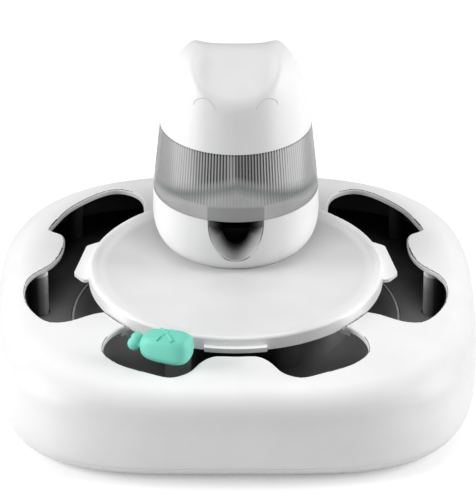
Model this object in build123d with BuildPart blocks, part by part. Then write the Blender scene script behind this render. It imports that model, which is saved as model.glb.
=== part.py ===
from build123d import *
import math
import os

# Automatic cat toy: a low square play base with paw openings round a feeding tray, a lure that
# pops up beside the tray on a turntable, and a dispenser tower with a cat shaped lid.
# Millimetres. The origin is the centre of the base on the floor, +Z is up and -Y is the front.

os.makedirs("parts", exist_ok=True)

# ---------------------------------------------------------------- clearances
seat_gap = 0.2  # between pieces that rest on or lift off each other
run_gap = 0.6  # beside anything that turns
slide_gap = 0.3  # each side of the lure's guide
shaft_gap = 0.05  # radial, a shaft in its bore
screw_gap = 0.05  # radial, a screw in its hole

# ---------------------------------------------------------------- base shell
base_half = 180.0  # half width at the widest height
top_half = 150.0  # half width of the flat top
floor_half = 155.0  # half width where the underside starts
top_z = 77.5  # height of the cover's flat top
side_top_z = 52.4  # the side is upright between these two heights
side_low_z = 28.3
top_power = 2.9  # how square the plan is at the top
floor_power = 3.9  # and at the floor
plan_points = 40  # points round each plan curve
roll_steps = 6  # sections through the rolled shoulder
low_steps = 4  # sections from the parting line to the upright side
cover_wall = 4.0
parting_z = 14.0  # where the cover meets the pan
foot_height = 2.0  # the pan's underside stands this far off the floor
pan_floor = 2.5
pan_wall = 3.0
tongue_height = 3.0
tongue_wall = 2.0
tongue_gap = 0.4  # between the tongue and the cover's wall

# ---------------------------------------------------------------- feeding tray and its seat
tray_radius = 110.7
tray_top_z = 85.4
tray_bottom_z = 74.5
tray_wall = 2.6
tray_rim_width = 8.5  # from the tray's edge to the start of its dish
dish_depth = 1.8
tray_edge_round = 2.4
seat_clearance = 1.5  # round the tray, in the cover's recess
hub_radius = 96.0  # the cover's middle, under the tray
hub_flange = 5.0  # thick rim of the recess
front_tab_half = 23.0
front_tab_reach = 4.2
front_tab_low_z = 75.2
front_tab_thick = 3.6
front_tab_round = 3.0
side_tab_angle = 11.0  # turned back from the X axis
side_tab_half = 37.0  # at its root
side_tab_reach = 9.4
side_tab_low_z = 74.7
side_tab_thick = 2.6
side_tab_slope = 45.0  # its ends, degrees from its root
side_tab_round = 5.0
tab_root = 6.0  # how far the tabs run in under the rim
support_ring_radius = 49.0
support_ring_wall = 2.0

# ---------------------------------------------------------------- turntable and deck
deck_top_z = 41.0
deck_thick = 2.5
table_radius = 124.0
table_thick = 2.3
ridge_width = 1.6
ridge_height = 1.0
drum_radius = 88.0
drum_wall = 2.0
drum_top_z = 68.5
column_radius = 7.0  # fixed column that the turntable turns on
column_foot_radius = 12.0
column_foot_z = 25.0
washer_thick = 1.0
bush_wall = 2.0
table_hub_radius = 13.0

# ---------------------------------------------------------------- gears
gear_module = 1.0
ring_teeth = 60
pinion_teeth = 15
gear_low_z = 28.0
gear_width = 5.0
pressure_angle = 20.0
gear_backlash = 0.24  # along the pitch circle, shared by both gears
centre_play = 0.1

# ---------------------------------------------------------------- lure
lure_angle = 249.4  # degrees round from +X
guide_radius = 119.4
plate_width = 19.0
plate_thick = 4.2
plate_low_z = 46.0
guide_wall = 1.6
guide_low_z = 6.5
lure_radius = 142.0
lure_z = 91.5
lure_length = 38.5
lure_thick = 23.4
lure_round = 9.5
tail_radius = 6.0
peg_radius = 3.0
peg_depth = 7.0

# ---------------------------------------------------------------- tower
tower_y = 49.2
bowl_foot_radius = 52.7
bowl_radius = 62.9
bowl_widest_z = 108.0
bowl_flare = 3.4  # how much narrower the bowl is, this high above its foot
bowl_flare_height = 8.7
bowl_top_z = 128.4
seam_radius = 62.5  # bowl meets hopper
bowl_wall = 2.5
hopper_top_z = 182.0
hopper_top_radius = 57.0
hopper_wall = 2.2
head_wall = 2.4
outlet_half = 21.0
outlet_low_z = 94.0
chute_depth = 30.0
chute_wall = 1.6
spigot_height = 7.0
baffle_top_z = 148.0


def turned(angle, radius):
    """Point at a radius and an angle in degrees."""
    return (radius * math.cos(math.radians(angle)), radius * math.sin(math.radians(angle)))


# ================================================================ plan and shell shapes
def plan_power(height):
    """How square the base is at a height."""
    return floor_power + (top_power - floor_power) * height / top_z


def rounded_square(half, power):
    """Face of a superellipse, drawn in the sketch that is open."""
    points = []
    for step in range(plan_points):
        angle = 2 * math.pi * step / plan_points
        across = abs(math.cos(angle)) ** power
        along = abs(math.sin(angle)) ** power
        reach = half / (across + along) ** (1 / power)
        points.append((reach * math.cos(angle), reach * math.sin(angle)))
    with BuildLine() as curve:
        Spline(points, periodic=True)
    make_face(curve.edges())


def shoulder(inset):
    """Half widths and heights up the base, from the parting line to the flat top."""
    levels = []
    for step in range(low_steps):
        height = parting_z + (side_low_z - parting_z) * step / low_steps
        drop = (side_low_z - height) / side_low_z
        reach = floor_half + (base_half - floor_half) * math.sqrt(1 - drop * drop)
        levels.append((reach - inset, height))
    levels.append((base_half - inset, side_low_z))
    levels.append((base_half - inset, (side_low_z + side_top_z) / 2))
    for step in range(roll_steps + 1):
        angle = math.pi / 2 * step / roll_steps
        reach = top_half + (base_half - top_half - inset) * math.cos(angle)
        levels.append((reach, side_top_z + (top_z - side_top_z - inset) * math.sin(angle)))
    return levels


def pan_levels(inset, low, high):
    """Half widths and heights of the pan between two heights."""
    levels = []
    for step in range(4):
        height = low + (high - low) * step / 3
        drop = (side_low_z - height) / side_low_z
        reach = floor_half + (base_half - floor_half) * math.sqrt(1 - drop * drop)
        levels.append((reach - inset, height))
    return levels


def shell_form(levels):
    """Closed form lofted through the plan curves at the given levels."""
    with BuildPart() as form:
        for half, height in levels:
            with BuildSketch(Plane.XY.offset(height)):
                rounded_square(half, plan_power(height))
        loft()
    return form.part


def post_row(spots, radius, low, high):
    """Upright round posts."""
    with BuildPart() as posts:
        with BuildSketch(Plane.XY.offset(low)):
            with Locations(*spots):
                Circle(radius)
        extrude(amount=high - low)
    return posts.part


cover_form = shell_form(shoulder(0.0))
cover_hollow = shell_form(shoulder(cover_wall))

post_radius = 6.0
side_post_radius = 8.0  # the two posts that show through the side openings
side_posts = [(-149.2, 7.0), (149.2, 7.0)]
corner_posts = [(-120.0, -124.0), (120.0, -124.0), (-126.0, 127.0), (126.0, 127.0)]
post_spots = side_posts + corner_posts
post_sunk = 0.5  # how far the posts run up into the cover's wall
screw_radius = 1.5
screw_head_radius = 3.0
screw_head_height = 2.2
screw_slot_length = 3.6
screw_slot_width = 0.9
screw_reach = 12.0  # how far a screw enters its post
boss_top_z = parting_z + tongue_height

# ================================================================ top cover
front_opening = [
    (0.0, -123.3),
    (-16.0, -123.6),
    (-26.0, -132.5),
    (-34.5, -146.4),
    (-47.0, -152.8),
    (-60.0, -148.6),
    (-86.0, -133.0),
    (-96.5, -118.0),
    (-96.0, -101.0),
    (-89.0, -87.0),
    (-76.0, -78.0),
]
side_opening_front = [
    (-84.0, -57.0),
    (-94.0, -57.6),
    (-107.0, -61.6),
    (-122.0, -70.8),
    (-137.0, -73.2),
    (-148.0, -62.5),
    (-158.6, -28.0),
    (-155.6, -6.0),
    (-142.0, 11.5),
    (-134.6, 27.0),
    (-131.5, 48.0),
    (-134.5, 61.5),
    (-143.6, 69.6),
]
side_opening_back = [
    (-143.6, 71.6),
    (-134.5, 94.0),
    (-113.5, 122.5),
    (-92.0, 134.6),
    (-76.5, 125.0),
    (-71.8, 106.0),
    (-71.8, 80.0),
]
seat_radius = tray_radius + seat_clearance
seat_z = tray_bottom_z - seat_gap
hub_low_z = seat_z - cover_wall

with BuildPart() as front_cut:
    with BuildSketch(Plane.XY.offset(hub_low_z - 1)):
        with BuildLine():
            edge = Spline(front_opening, tangents=[(-1, 0), (1, 0.25)])
            Polyline(edge @ 1, turned(225, hub_radius), (0, -hub_radius), edge @ 0)
        make_face()
        Circle(hub_radius, mode=Mode.SUBTRACT)
        mirror(about=Plane.YZ)
    extrude(amount=top_z)

with BuildPart() as side_cut:
    with BuildSketch(Plane.XY.offset(hub_low_z - 1)):
        with BuildLine():
            forward = Spline(side_opening_front, tangents=[(-1, 0), (-0.4, 1)])
            corner = Line(forward @ 1, side_opening_back[0])
            backward = Spline(side_opening_back, tangents=[(0.5, 1), (0, -1)])
            Polyline(backward @ 1, turned(180, hub_radius / 2), forward @ 0)
        make_face()
        Circle(hub_radius, mode=Mode.SUBTRACT)
        mirror(about=Plane.YZ)
    extrude(amount=top_z)

with BuildPart() as cover_posts:
    add(post_row(corner_posts, post_radius, boss_top_z + seat_gap, top_z))
    add(post_row(side_posts, side_post_radius, boss_top_z + seat_gap, top_z))
    add(shell_form(shoulder(cover_wall - post_sunk)), mode=Mode.INTERSECT)

window_half = 24.0
window_mid_z = 38.0
window_height = 18.0
window_round = 4.0

with BuildPart() as top_cover:
    add(cover_form)
    add(cover_hollow, mode=Mode.SUBTRACT)
    with BuildSketch(Plane.XY.offset(hub_low_z)):
        Circle(seat_radius + hub_flange)
    extrude(amount=top_z - hub_low_z)
    with BuildSketch(Plane.XY.offset(seat_z)):
        Circle(seat_radius)
    extrude(amount=top_z, mode=Mode.SUBTRACT)
    add(front_cut.part, mode=Mode.SUBTRACT)
    add(side_cut.part, mode=Mode.SUBTRACT)
    add(cover_posts.part)
    with BuildSketch(Plane.XY.offset(boss_top_z)):
        with Locations(*post_spots):
            Circle(screw_radius + screw_gap)
    extrude(amount=screw_reach + 2, mode=Mode.SUBTRACT)
    with BuildSketch(Plane.XZ.offset(-base_half - 1)):
        with Locations((0, window_mid_z)):
            RectangleRounded(2 * window_half, window_height, window_round)
    extrude(amount=cover_wall * 3, mode=Mode.SUBTRACT)
top_cover.part.label = "top_cover"
export_step(top_cover.part, "parts/top_cover.step")

# ================================================================ pan and what stands on it
column_top_z = hub_low_z - seat_gap
column_spigot_radius = 5.0
pan_floor_z = foot_height + pan_floor
deck_low_z = deck_top_z - deck_thick
pillar_spots = [turned(angle, 150.0) for angle in (150.0, 210.0, 330.0, 30.0)]
pillar_radius = 4.0
foot_spots = [(-112.0, -112.0), (112.0, -112.0), (-112.0, 112.0), (112.0, 112.0)]
foot_radius = 9.0
foot_sunk = 1.2
door_centre = (70.0, 20.0)
door_size = (46.0, 78.0)
door_thick = 1.4
door_ledge = 2.0
door_round = 3.0
finger_slot = (14.0, 3.4)
cell_radius = 9.2
cell_length = 65.0
cell_pitch = 19.6
cell_cap_radius = 3.0
cell_cap_height = 1.5
motor_radius = 12.0
gear_centre = gear_module * (ring_teeth + pinion_teeth) / 2 + centre_play
motor_clamp_wall = 2.0
motor_low_z = pan_floor_z + 0.3
motor_height = 18.0
motor_shaft_radius = 1.5
motor_shaft_seat = 2.0  # the shaft starts this far inside its motor
board_centre = (-62.0, 66.0)
board_size = (70.0, 46.0)
board_z = 11.0
board_thick = 1.6
board_inset = 4.0  # from the board's edges to its posts
board_post_radius = 3.0
chip_size = 12.0
driver_size = (14.0, 7.0)
cap_radius = 4.0
part_height = 3.0  # of what stands on the boards
board_posts = [
    (board_centre[0] + x * (board_size[0] / 2 - board_inset), board_centre[1] + y * (board_size[1] / 2 - board_inset))
    for x in (-1, 1)
    for y in (-1, 1)
]

with BuildPart() as base_pan:
    add(shell_form(pan_levels(0.0, foot_height, parting_z - seat_gap)))
    add(shell_form(pan_levels(pan_wall, pan_floor_z, parting_z)), mode=Mode.SUBTRACT)
    add(shell_form(pan_levels(cover_wall + tongue_gap, pan_floor_z, parting_z + tongue_height)))
    tongue_inset = cover_wall + tongue_gap + tongue_wall
    add(shell_form(pan_levels(tongue_inset, pan_floor_z, parting_z + tongue_height + 1)), mode=Mode.SUBTRACT)
    add(post_row(post_spots, post_radius, pan_floor_z, boss_top_z))
    add(post_row(pillar_spots, pillar_radius, pan_floor_z, deck_low_z - seat_gap))
    add(post_row(board_posts, board_post_radius, pan_floor_z, board_z))
    with BuildSketch(Plane.XY.offset(foot_height)):
        Circle(column_spigot_radius + screw_gap)
    extrude(amount=pan_floor, mode=Mode.SUBTRACT)
    with BuildSketch(Plane.XY.offset(pan_floor_z)):
        with Locations((0, gear_centre)):
            Circle(motor_radius + seat_gap + motor_clamp_wall)
            Circle(motor_radius + seat_gap, mode=Mode.SUBTRACT)
    extrude(amount=motor_height / 2)
    with BuildSketch(Plane.XY.offset(foot_height)):
        with Locations(*foot_spots):
            Circle(foot_radius)
    extrude(amount=foot_sunk, mode=Mode.SUBTRACT)
    with BuildSketch(Plane.XY.offset(foot_height)):
        with Locations(door_centre):
            RectangleRounded(door_size[0], door_size[1], door_round)
    extrude(amount=door_thick, mode=Mode.SUBTRACT)
    with BuildSketch(Plane.XY.offset(foot_height)):
        with Locations(door_centre):
            RectangleRounded(door_size[0] - 2 * door_ledge, door_size[1] - 2 * door_ledge, door_round)
    extrude(amount=pan_floor * 2, mode=Mode.SUBTRACT)
    with BuildSketch(Plane.XY.offset(foot_height)):
        with Locations(*post_spots):
            Circle(screw_radius + screw_gap)
    extrude(amount=boss_top_z, mode=Mode.SUBTRACT)
    with BuildSketch(Plane.XY.offset(foot_height)):
        with Locations(*post_spots):
            Circle(screw_head_radius + 0.3)
    extrude(amount=screw_head_height + 0.6, mode=Mode.SUBTRACT)
base_pan.part.label = "base_pan"
export_step(base_pan.part, "parts/base_pan.step")


with BuildPart() as centre_column:
    with BuildSketch(Plane.XY.offset(foot_height + seat_gap)):
        Circle(column_spigot_radius)
    extrude(amount=pan_floor)
    with BuildSketch(Plane.XY.offset(pan_floor_z)):
        Circle(column_foot_radius)
    extrude(amount=column_foot_z - pan_floor_z)
    with BuildSketch(Plane.XY.offset(column_foot_z)):
        Circle(column_radius)
    extrude(amount=column_top_z - column_foot_z)
centre_column.part.label = "centre_column"
export_step(centre_column.part, "parts/centre_column.step")


def screw(spot, head_z, length):
    """Pan head screw, driven upwards, with a cross slot in its head."""
    with BuildPart() as piece:
        with BuildSketch(Plane.XY.offset(head_z)):
            with Locations(spot):
                Circle(screw_head_radius)
        extrude(amount=screw_head_height)
        with BuildSketch(Plane.XY.offset(head_z)):
            with Locations(spot):
                Circle(screw_radius)
        extrude(amount=length)
        with BuildSketch(Plane.XY.offset(head_z)):
            with Locations(spot):
                Rectangle(screw_slot_length, screw_slot_width)
                Rectangle(screw_slot_width, screw_slot_length)
        extrude(amount=screw_head_height / 2, mode=Mode.SUBTRACT)
    return piece.part


screw_head_z = foot_height + 0.6
screw_length = boss_top_z + screw_reach - screw_head_z
with BuildPart() as base_screws:
    for spot in post_spots:
        add(screw(spot, screw_head_z, screw_length))
base_screws.part.label = "base_screws"
export_step(base_screws.part, "parts/base_screws.step")

with BuildPart() as rubber_feet:
    with BuildSketch():
        with Locations(*foot_spots):
            Circle(foot_radius - 0.1)
    extrude(amount=foot_height + foot_sunk)
    chamfer(rubber_feet.faces().sort_by(Axis.Z)[0:4].edges(), 0.8)
rubber_feet.part.label = "rubber_feet"
export_step(rubber_feet.part, "parts/rubber_feet.step")

with BuildPart() as battery_door:
    with BuildSketch(Plane.XY.offset(foot_height)):
        with Locations(door_centre):
            RectangleRounded(door_size[0] - 2 * seat_gap, door_size[1] - 2 * seat_gap, door_round - seat_gap)
    extrude(amount=door_thick)
    with BuildSketch(Plane.XY.offset(foot_height)):
        with Locations((door_centre[0], door_centre[1] + door_size[1] / 2 - 2 * finger_slot[1])):
            SlotOverall(*finger_slot)
    extrude(amount=door_thick / 2, mode=Mode.SUBTRACT)
battery_door.part.label = "battery_door"
export_step(battery_door.part, "parts/battery_door.step")

cell_z = pan_floor_z + cell_radius + 0.3
with BuildPart() as battery_cells:
    for side in (-0.5, 0.5):
        with BuildSketch(Plane.XZ.offset(cell_length / 2 - door_centre[1])):
            with Locations((door_centre[0] + side * cell_pitch, cell_z)):
                Circle(cell_radius)
        extrude(amount=-cell_length)
        with BuildSketch(Plane.XZ.offset(-cell_length / 2 - door_centre[1])):
            with Locations((door_centre[0] + side * cell_pitch, cell_z)):
                Circle(cell_cap_radius)
        extrude(amount=-cell_cap_height)
battery_cells.part.label = "battery_cells"
export_step(battery_cells.part, "parts/battery_cells.step")

holder_wall = 2.0
holder_inner = (2 * cell_pitch, cell_length + 5.0)
with BuildPart() as battery_holder:
    with BuildSketch(Plane.XY.offset(pan_floor_z)):
        with Locations(door_centre):
            Rectangle(holder_inner[0] + 2 * holder_wall, holder_inner[1] + 2 * holder_wall)
            Rectangle(holder_inner[0], holder_inner[1], mode=Mode.SUBTRACT)
    extrude(amount=cell_radius * 1.5)
battery_holder.part.label = "battery_holder"
export_step(battery_holder.part, "parts/battery_holder.step")

with BuildPart() as drive_motor:
    with BuildSketch(Plane.XY.offset(motor_low_z)):
        with Locations((0, gear_centre)):
            Circle(motor_radius)
            Circle(motor_shaft_radius + shaft_gap, mode=Mode.SUBTRACT)
    extrude(amount=motor_height)
drive_motor.part.label = "drive_motor"
export_step(drive_motor.part, "parts/drive_motor.step")

with BuildPart() as main_board:
    with BuildSketch(Plane.XY.offset(board_z)):
        with Locations(board_centre):
            RectangleRounded(board_size[0], board_size[1], 2)
    extrude(amount=board_thick)
    with BuildSketch(Plane.XY.offset(board_z + board_thick)):
        with Locations((board_centre[0] - chip_size, board_centre[1])):
            Rectangle(chip_size, chip_size)
        with Locations((board_centre[0] + driver_size[0], board_centre[1] - driver_size[1])):
            Rectangle(*driver_size)
        with Locations((board_centre[0] + driver_size[0], board_centre[1] + 2 * cap_radius)):
            Circle(cap_radius)
    extrude(amount=part_height)
main_board.part.label = "main_board"
export_step(main_board.part, "parts/main_board.step")

# ================================================================ rear panel, button and socket
panel_y = base_half - 1.0  # outer face of the panel, set in from the shell
panel_thick = 3.6
panel_lip = 4.0  # the flange behind the window reaches this far beyond it
panel_flange = 2.1
button_x = 12.0
button_radius = 5.5
button_travel = 1.2
button_flange = 1.2
button_lip = 1.5  # the flange is this much wider than the cap
button_proud = 0.8
button_gap = 0.1
port_x = -10.0
port_size = (9.2, 3.4)
port_wall = 0.6
port_length = 7.5
port_back = 0.8
port_tongue = (6.4, 0.8)
panel_back_y = base_half - cover_wall - panel_flange - 0.3


def rear_plane(y):
    """Sketch plane facing backwards, so that extruding runs outwards; local x is -X."""
    return Plane(origin=(0, y, 0), x_dir=(-1, 0, 0), z_dir=(0, 1, 0))


with BuildPart() as rear_panel:
    with BuildSketch(rear_plane(panel_y - panel_thick)):
        with Locations((0, window_mid_z)):
            RectangleRounded(2 * (window_half - seat_gap), window_height - 2 * seat_gap, window_round - seat_gap)
    extrude(amount=panel_thick)
    with BuildSketch(rear_plane(panel_back_y)):
        with Locations((0, window_mid_z)):
            RectangleRounded(2 * (window_half + panel_lip), window_height + 1.5 * panel_lip, window_round)
    extrude(amount=panel_flange)
    with BuildSketch(rear_plane(base_half - cover_wall * 3)):
        with Locations((-button_x, window_mid_z)):
            Circle(button_radius + button_gap)
        with Locations((-port_x, window_mid_z)):
            SlotOverall(port_size[0] + 2 * port_wall, port_size[1] + 2 * port_wall)
    extrude(amount=cover_wall * 4, mode=Mode.SUBTRACT)
rear_panel.part.label = "rear_panel"
export_step(rear_panel.part, "parts/rear_panel.step")

button_face_y = panel_y + button_proud
flange_y = panel_back_y - button_flange - button_gap
with BuildPart() as power_button:
    with BuildSketch(rear_plane(flange_y)):
        with Locations((-button_x, window_mid_z)):
            Circle(button_radius + button_lip)
    extrude(amount=button_flange)
    with BuildSketch(rear_plane(flange_y)):
        with Locations((-button_x, window_mid_z)):
            Circle(button_radius)
    extrude(amount=button_face_y - flange_y)
    fillet(power_button.edges().sort_by(Axis.Y)[-1], button_lip / 2)
power_button.part.label = "power_button"
export_step(power_button.part, "parts/power_button.step")

switch_size = 6.2
switch_depth = 4.3
switch_y = flange_y - button_travel - button_gap - switch_depth
switch_board_height = 13.0
stand_off = (2.4, 12.0)
stand_off_x = window_half - stand_off[0] - 0.6
with BuildPart() as button_board:
    with BuildSketch(rear_plane(switch_y - board_thick)):
        with Locations((0, window_mid_z)):
            Rectangle(2 * stand_off_x + stand_off[0], switch_board_height)
    extrude(amount=board_thick)
    with BuildSketch(rear_plane(switch_y)):
        with Locations((-button_x, window_mid_z)):
            Rectangle(switch_size, switch_size)
    extrude(amount=switch_depth)
    with BuildSketch(rear_plane(switch_y)):
        with Locations((-stand_off_x, window_mid_z), (stand_off_x, window_mid_z)):
            Rectangle(*stand_off)
    extrude(amount=panel_back_y - switch_y)
button_board.part.label = "button_board"
export_step(button_board.part, "parts/button_board.step")

port_outer = (port_size[0] + 2 * port_wall - 2 * shaft_gap, port_size[1] + 2 * port_wall - 2 * shaft_gap)
with BuildPart() as charge_port:
    with BuildSketch(rear_plane(panel_y - port_length)):
        with Locations((-port_x, window_mid_z)):
            SlotOverall(*port_outer)
            SlotOverall(*port_size, mode=Mode.SUBTRACT)
    extrude(amount=port_length)
    with BuildSketch(rear_plane(panel_y - port_length)):
        with Locations((-port_x, window_mid_z)):
            SlotOverall(*port_outer)
    extrude(amount=port_back)
    with BuildSketch(rear_plane(panel_y - port_length)):
        with Locations((-port_x, window_mid_z)):
            Rectangle(*port_tongue)
    extrude(amount=port_length - 2 * port_back)
charge_port.part.label = "charge_port"
export_step(charge_port.part, "parts/charge_port.step")

# ================================================================ play deck
deck_gap = 0.4  # round the cover's posts
deck_notch_width = 2 * window_half + 14  # room for the rear panel and its switch
deck_notch_depth = 22.0
with BuildPart() as play_deck:
    with BuildSketch(Plane.XY.offset(deck_low_z)):
        rounded_square(base_half - cover_wall - run_gap, plan_power(deck_top_z))
        Circle(table_radius + run_gap, mode=Mode.SUBTRACT)
        with Locations(*corner_posts):
            Circle(post_radius + deck_gap, mode=Mode.SUBTRACT)
        with Locations(*side_posts):
            Circle(side_post_radius + deck_gap, mode=Mode.SUBTRACT)
        with Locations((0, base_half - deck_notch_depth / 2)):
            Rectangle(deck_notch_width, deck_notch_depth, mode=Mode.SUBTRACT)
    extrude(amount=deck_thick)
    with BuildSketch(Plane.XY.offset(deck_top_z)):
        Circle(table_radius + run_gap + ridge_width)
        Circle(table_radius + run_gap, mode=Mode.SUBTRACT)
    extrude(amount=ridge_height)
play_deck.part.label = "play_deck"
export_step(play_deck.part, "parts/play_deck.step")

# ================================================================ turntable
guide_plane = Plane(
    origin=turned(lure_angle, guide_radius) + (0,),
    x_dir=turned(lure_angle + 90, 1.0) + (0,),
    z_dir=(0, 0, 1),
)
slot_width = plate_width + 2 * slide_gap
slot_thick = plate_thick + 2 * slide_gap
table_low_z = deck_top_z - table_thick
bush_radius = column_radius + shaft_gap
bush_outer = bush_radius + bush_wall
washer_z = column_foot_z
table_hub_low_z = washer_z + washer_thick

with BuildPart() as turntable:
    with BuildSketch(Plane.XY.offset(table_low_z)):
        Circle(table_radius)
    extrude(amount=table_thick)
    with BuildSketch(Plane.XY.offset(deck_top_z)):
        Circle(table_radius)
        Circle(table_radius - ridge_width, mode=Mode.SUBTRACT)
    extrude(amount=ridge_height)
    with BuildSketch(Plane.XY.offset(deck_top_z)):
        Circle(drum_radius)
        Circle(drum_radius - drum_wall, mode=Mode.SUBTRACT)
    extrude(amount=drum_top_z - deck_top_z)
    with BuildSketch(Plane.XY.offset(table_hub_low_z)):
        Circle(table_hub_radius)
    extrude(amount=deck_top_z - table_hub_low_z)
    with BuildSketch(guide_plane.offset(guide_low_z)):
        Rectangle(slot_width + 2 * guide_wall, slot_thick + 2 * guide_wall)
    extrude(amount=table_low_z - guide_low_z)
    with BuildSketch(guide_plane.offset(guide_low_z + guide_wall)):
        Rectangle(slot_width, slot_thick)
    extrude(amount=deck_top_z, mode=Mode.SUBTRACT)
    with BuildSketch(Plane.XY.offset(pan_floor_z)):
        Circle(bush_outer)
    extrude(amount=deck_top_z, mode=Mode.SUBTRACT)
turntable.part.label = "turntable"
export_step(turntable.part, "parts/turntable.step")

with BuildPart() as turntable_bush:
    with BuildSketch(Plane.XY.offset(table_hub_low_z)):
        Circle(bush_outer)
        Circle(bush_radius, mode=Mode.SUBTRACT)
    extrude(amount=deck_top_z - table_hub_low_z)
turntable_bush.part.label = "turntable_bush"
export_step(turntable_bush.part, "parts/turntable_bush.step")

with BuildPart() as thrust_washer:
    with BuildSketch(Plane.XY.offset(washer_z)):
        Circle(column_foot_radius)
        Circle(bush_radius, mode=Mode.SUBTRACT)
    extrude(amount=washer_thick - 0.1)
thrust_washer.part.label = "thrust_washer"
export_step(thrust_washer.part, "parts/thrust_washer.step")


# ================================================================ gears
def involute(angle):
    return math.tan(angle) - angle


def gear(teeth, bore, phase, centre, low, width):
    """Spur gear with involute flanks; phase is the angle of its first tooth in degrees."""
    pitch = gear_module * teeth / 2
    base = pitch * math.cos(math.radians(pressure_angle))
    tip = pitch + gear_module * 0.9
    root = pitch - gear_module * 1.25
    half_tooth = (math.pi * gear_module - gear_backlash) / (4 * pitch)
    at_base = half_tooth + involute(math.radians(pressure_angle))
    flank_steps = 5
    start = max(base, root)
    flank = []
    for step in range(flank_steps):
        radius = start + (tip - start) * step / (flank_steps - 1)
        lean = at_base - involute(math.acos(min(1.0, base / radius)))
        flank.append((radius, lean))
    outline = []
    for tooth in range(teeth):
        middle = math.radians(phase) + 2 * math.pi * tooth / teeth
        foot = [(root, flank[0][1])] if root < start else []
        rising = foot + flank
        right = [(radius, -lean) for radius, lean in rising]
        for radius, lean in right + rising[::-1]:
            outline.append((radius * math.cos(middle + lean), radius * math.sin(middle + lean)))
    with BuildPart() as wheel:
        with BuildSketch(Plane(origin=(centre[0], centre[1], low))):
            with BuildLine() as teeth_line:
                Polyline(outline, close=True)
            make_face(teeth_line.edges())
            Circle(bore, mode=Mode.SUBTRACT)
        extrude(amount=width)
    return wheel.part


with BuildPart() as ring_gear:
    add(gear(ring_teeth, table_hub_radius, 90.0, (0, 0), gear_low_z, gear_width))
ring_gear.part.label = "ring_gear"
export_step(ring_gear.part, "parts/ring_gear.step")

pinion_overhang = 0.5
pinion_phase = -90.0 + 180.0 / pinion_teeth
pinion_low_z = gear_low_z - pinion_overhang
pinion_width = gear_width + 2 * pinion_overhang
with BuildPart() as drive_pinion:
    add(gear(pinion_teeth, motor_shaft_radius, pinion_phase, (0, gear_centre), pinion_low_z, pinion_width))
drive_pinion.part.label = "drive_pinion"
export_step(drive_pinion.part, "parts/drive_pinion.step")

shaft_top_z = gear_low_z + gear_width + pinion_overhang
with BuildPart() as motor_shaft:
    with BuildSketch(Plane.XY.offset(motor_low_z + motor_shaft_seat)):
        with Locations((0, gear_centre)):
            Circle(motor_shaft_radius)
    extrude(amount=shaft_top_z - motor_low_z - motor_shaft_seat)
motor_shaft.part.label = "motor_shaft"
export_step(motor_shaft.part, "parts/motor_shaft.step")

# ================================================================ lure on its bracket
arm_thick = 6.0
arm_width = 8.0
peg_start = lure_radius - lure_thick / 2 - guide_radius  # radially, from the guide to the lure
radial_plane = Plane(
    origin=turned(lure_angle, guide_radius) + (lure_z,),
    x_dir=turned(lure_angle + 90, 1.0) + (0,),
    z_dir=turned(lure_angle, 1.0) + (0,),
)
with BuildPart() as lure_bracket:
    with BuildSketch(guide_plane.offset(plate_low_z)):
        Rectangle(plate_width, plate_thick)
    extrude(amount=lure_z + arm_thick / 2 - plate_low_z)
    with BuildSketch(radial_plane):
        Rectangle(arm_width, arm_thick)
    extrude(amount=peg_start - slide_gap)
    with BuildSketch(radial_plane):
        Circle(peg_radius)
    extrude(amount=peg_start + peg_depth - slide_gap)
lure_bracket.part.label = "lure_bracket"
export_step(lure_bracket.part, "parts/lure_bracket.step")

lure_plane = Plane(
    origin=turned(lure_angle, lure_radius) + (lure_z,),
    x_dir=turned(lure_angle + 90, 1.0) + (0,),
    z_dir=(0, 0, 1),
)
tail_lobes = [(-lure_length / 2 - 5.2, 0.0, -1.5), (-lure_length / 2 - 2.6, 0.0, 3.5)]  # centres of its two balls
with BuildPart() as lure:
    with Locations(lure_plane):
        Box(lure_length, lure_thick, lure_thick)
        fillet(lure.edges(), lure_round)
        with Locations(*tail_lobes):
            Sphere(tail_radius)
    with BuildSketch(radial_plane):
        Circle(peg_radius + shaft_gap)
    extrude(amount=peg_start + peg_depth, mode=Mode.SUBTRACT)
lure.part.label = "lure"
export_step(lure.part, "parts/lure.step")


def coil_spring(plane, radius, wire, height, turns):
    """Round wire spring that stands on a plane."""
    with BuildPart() as spring:
        with BuildLine(plane) as line:
            Helix(pitch=height / turns, height=height, radius=radius)
        with BuildSketch(Plane(origin=line.line @ 0, z_dir=line.line % 0)):
            Circle(wire)
        sweep(path=line.edges()[0])
    return spring.part


spring_radius = 1.6
spring_wire = 0.3
spring_turns = 14
spring_apart = 6.0  # each side of the guide's middle
spring_low_z = guide_low_z + guide_wall + spring_wire
spring_height = plate_low_z - spring_low_z - spring_wire
with BuildPart() as lift_springs:
    for side in (-spring_apart, spring_apart):
        foot = guide_plane.location * Pos(side, 0, spring_low_z)
        add(coil_spring(Plane(foot), spring_radius, spring_wire, spring_height, spring_turns))
lift_springs.part.label = "lift_springs"
export_step(lift_springs.part, "parts/lift_springs.step")

# ================================================================ feeding tray
dish_z = tray_top_z - dish_depth
dish_radius = tray_radius - tray_rim_width
contact_radius = 7.0
tower_plane = Plane(origin=(0, tower_y, 0), x_dir=(1, 0, 0), z_dir=(0, -1, 0))
tower_axis = Axis((0, tower_y, 0), (0, 0, 1))

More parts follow.
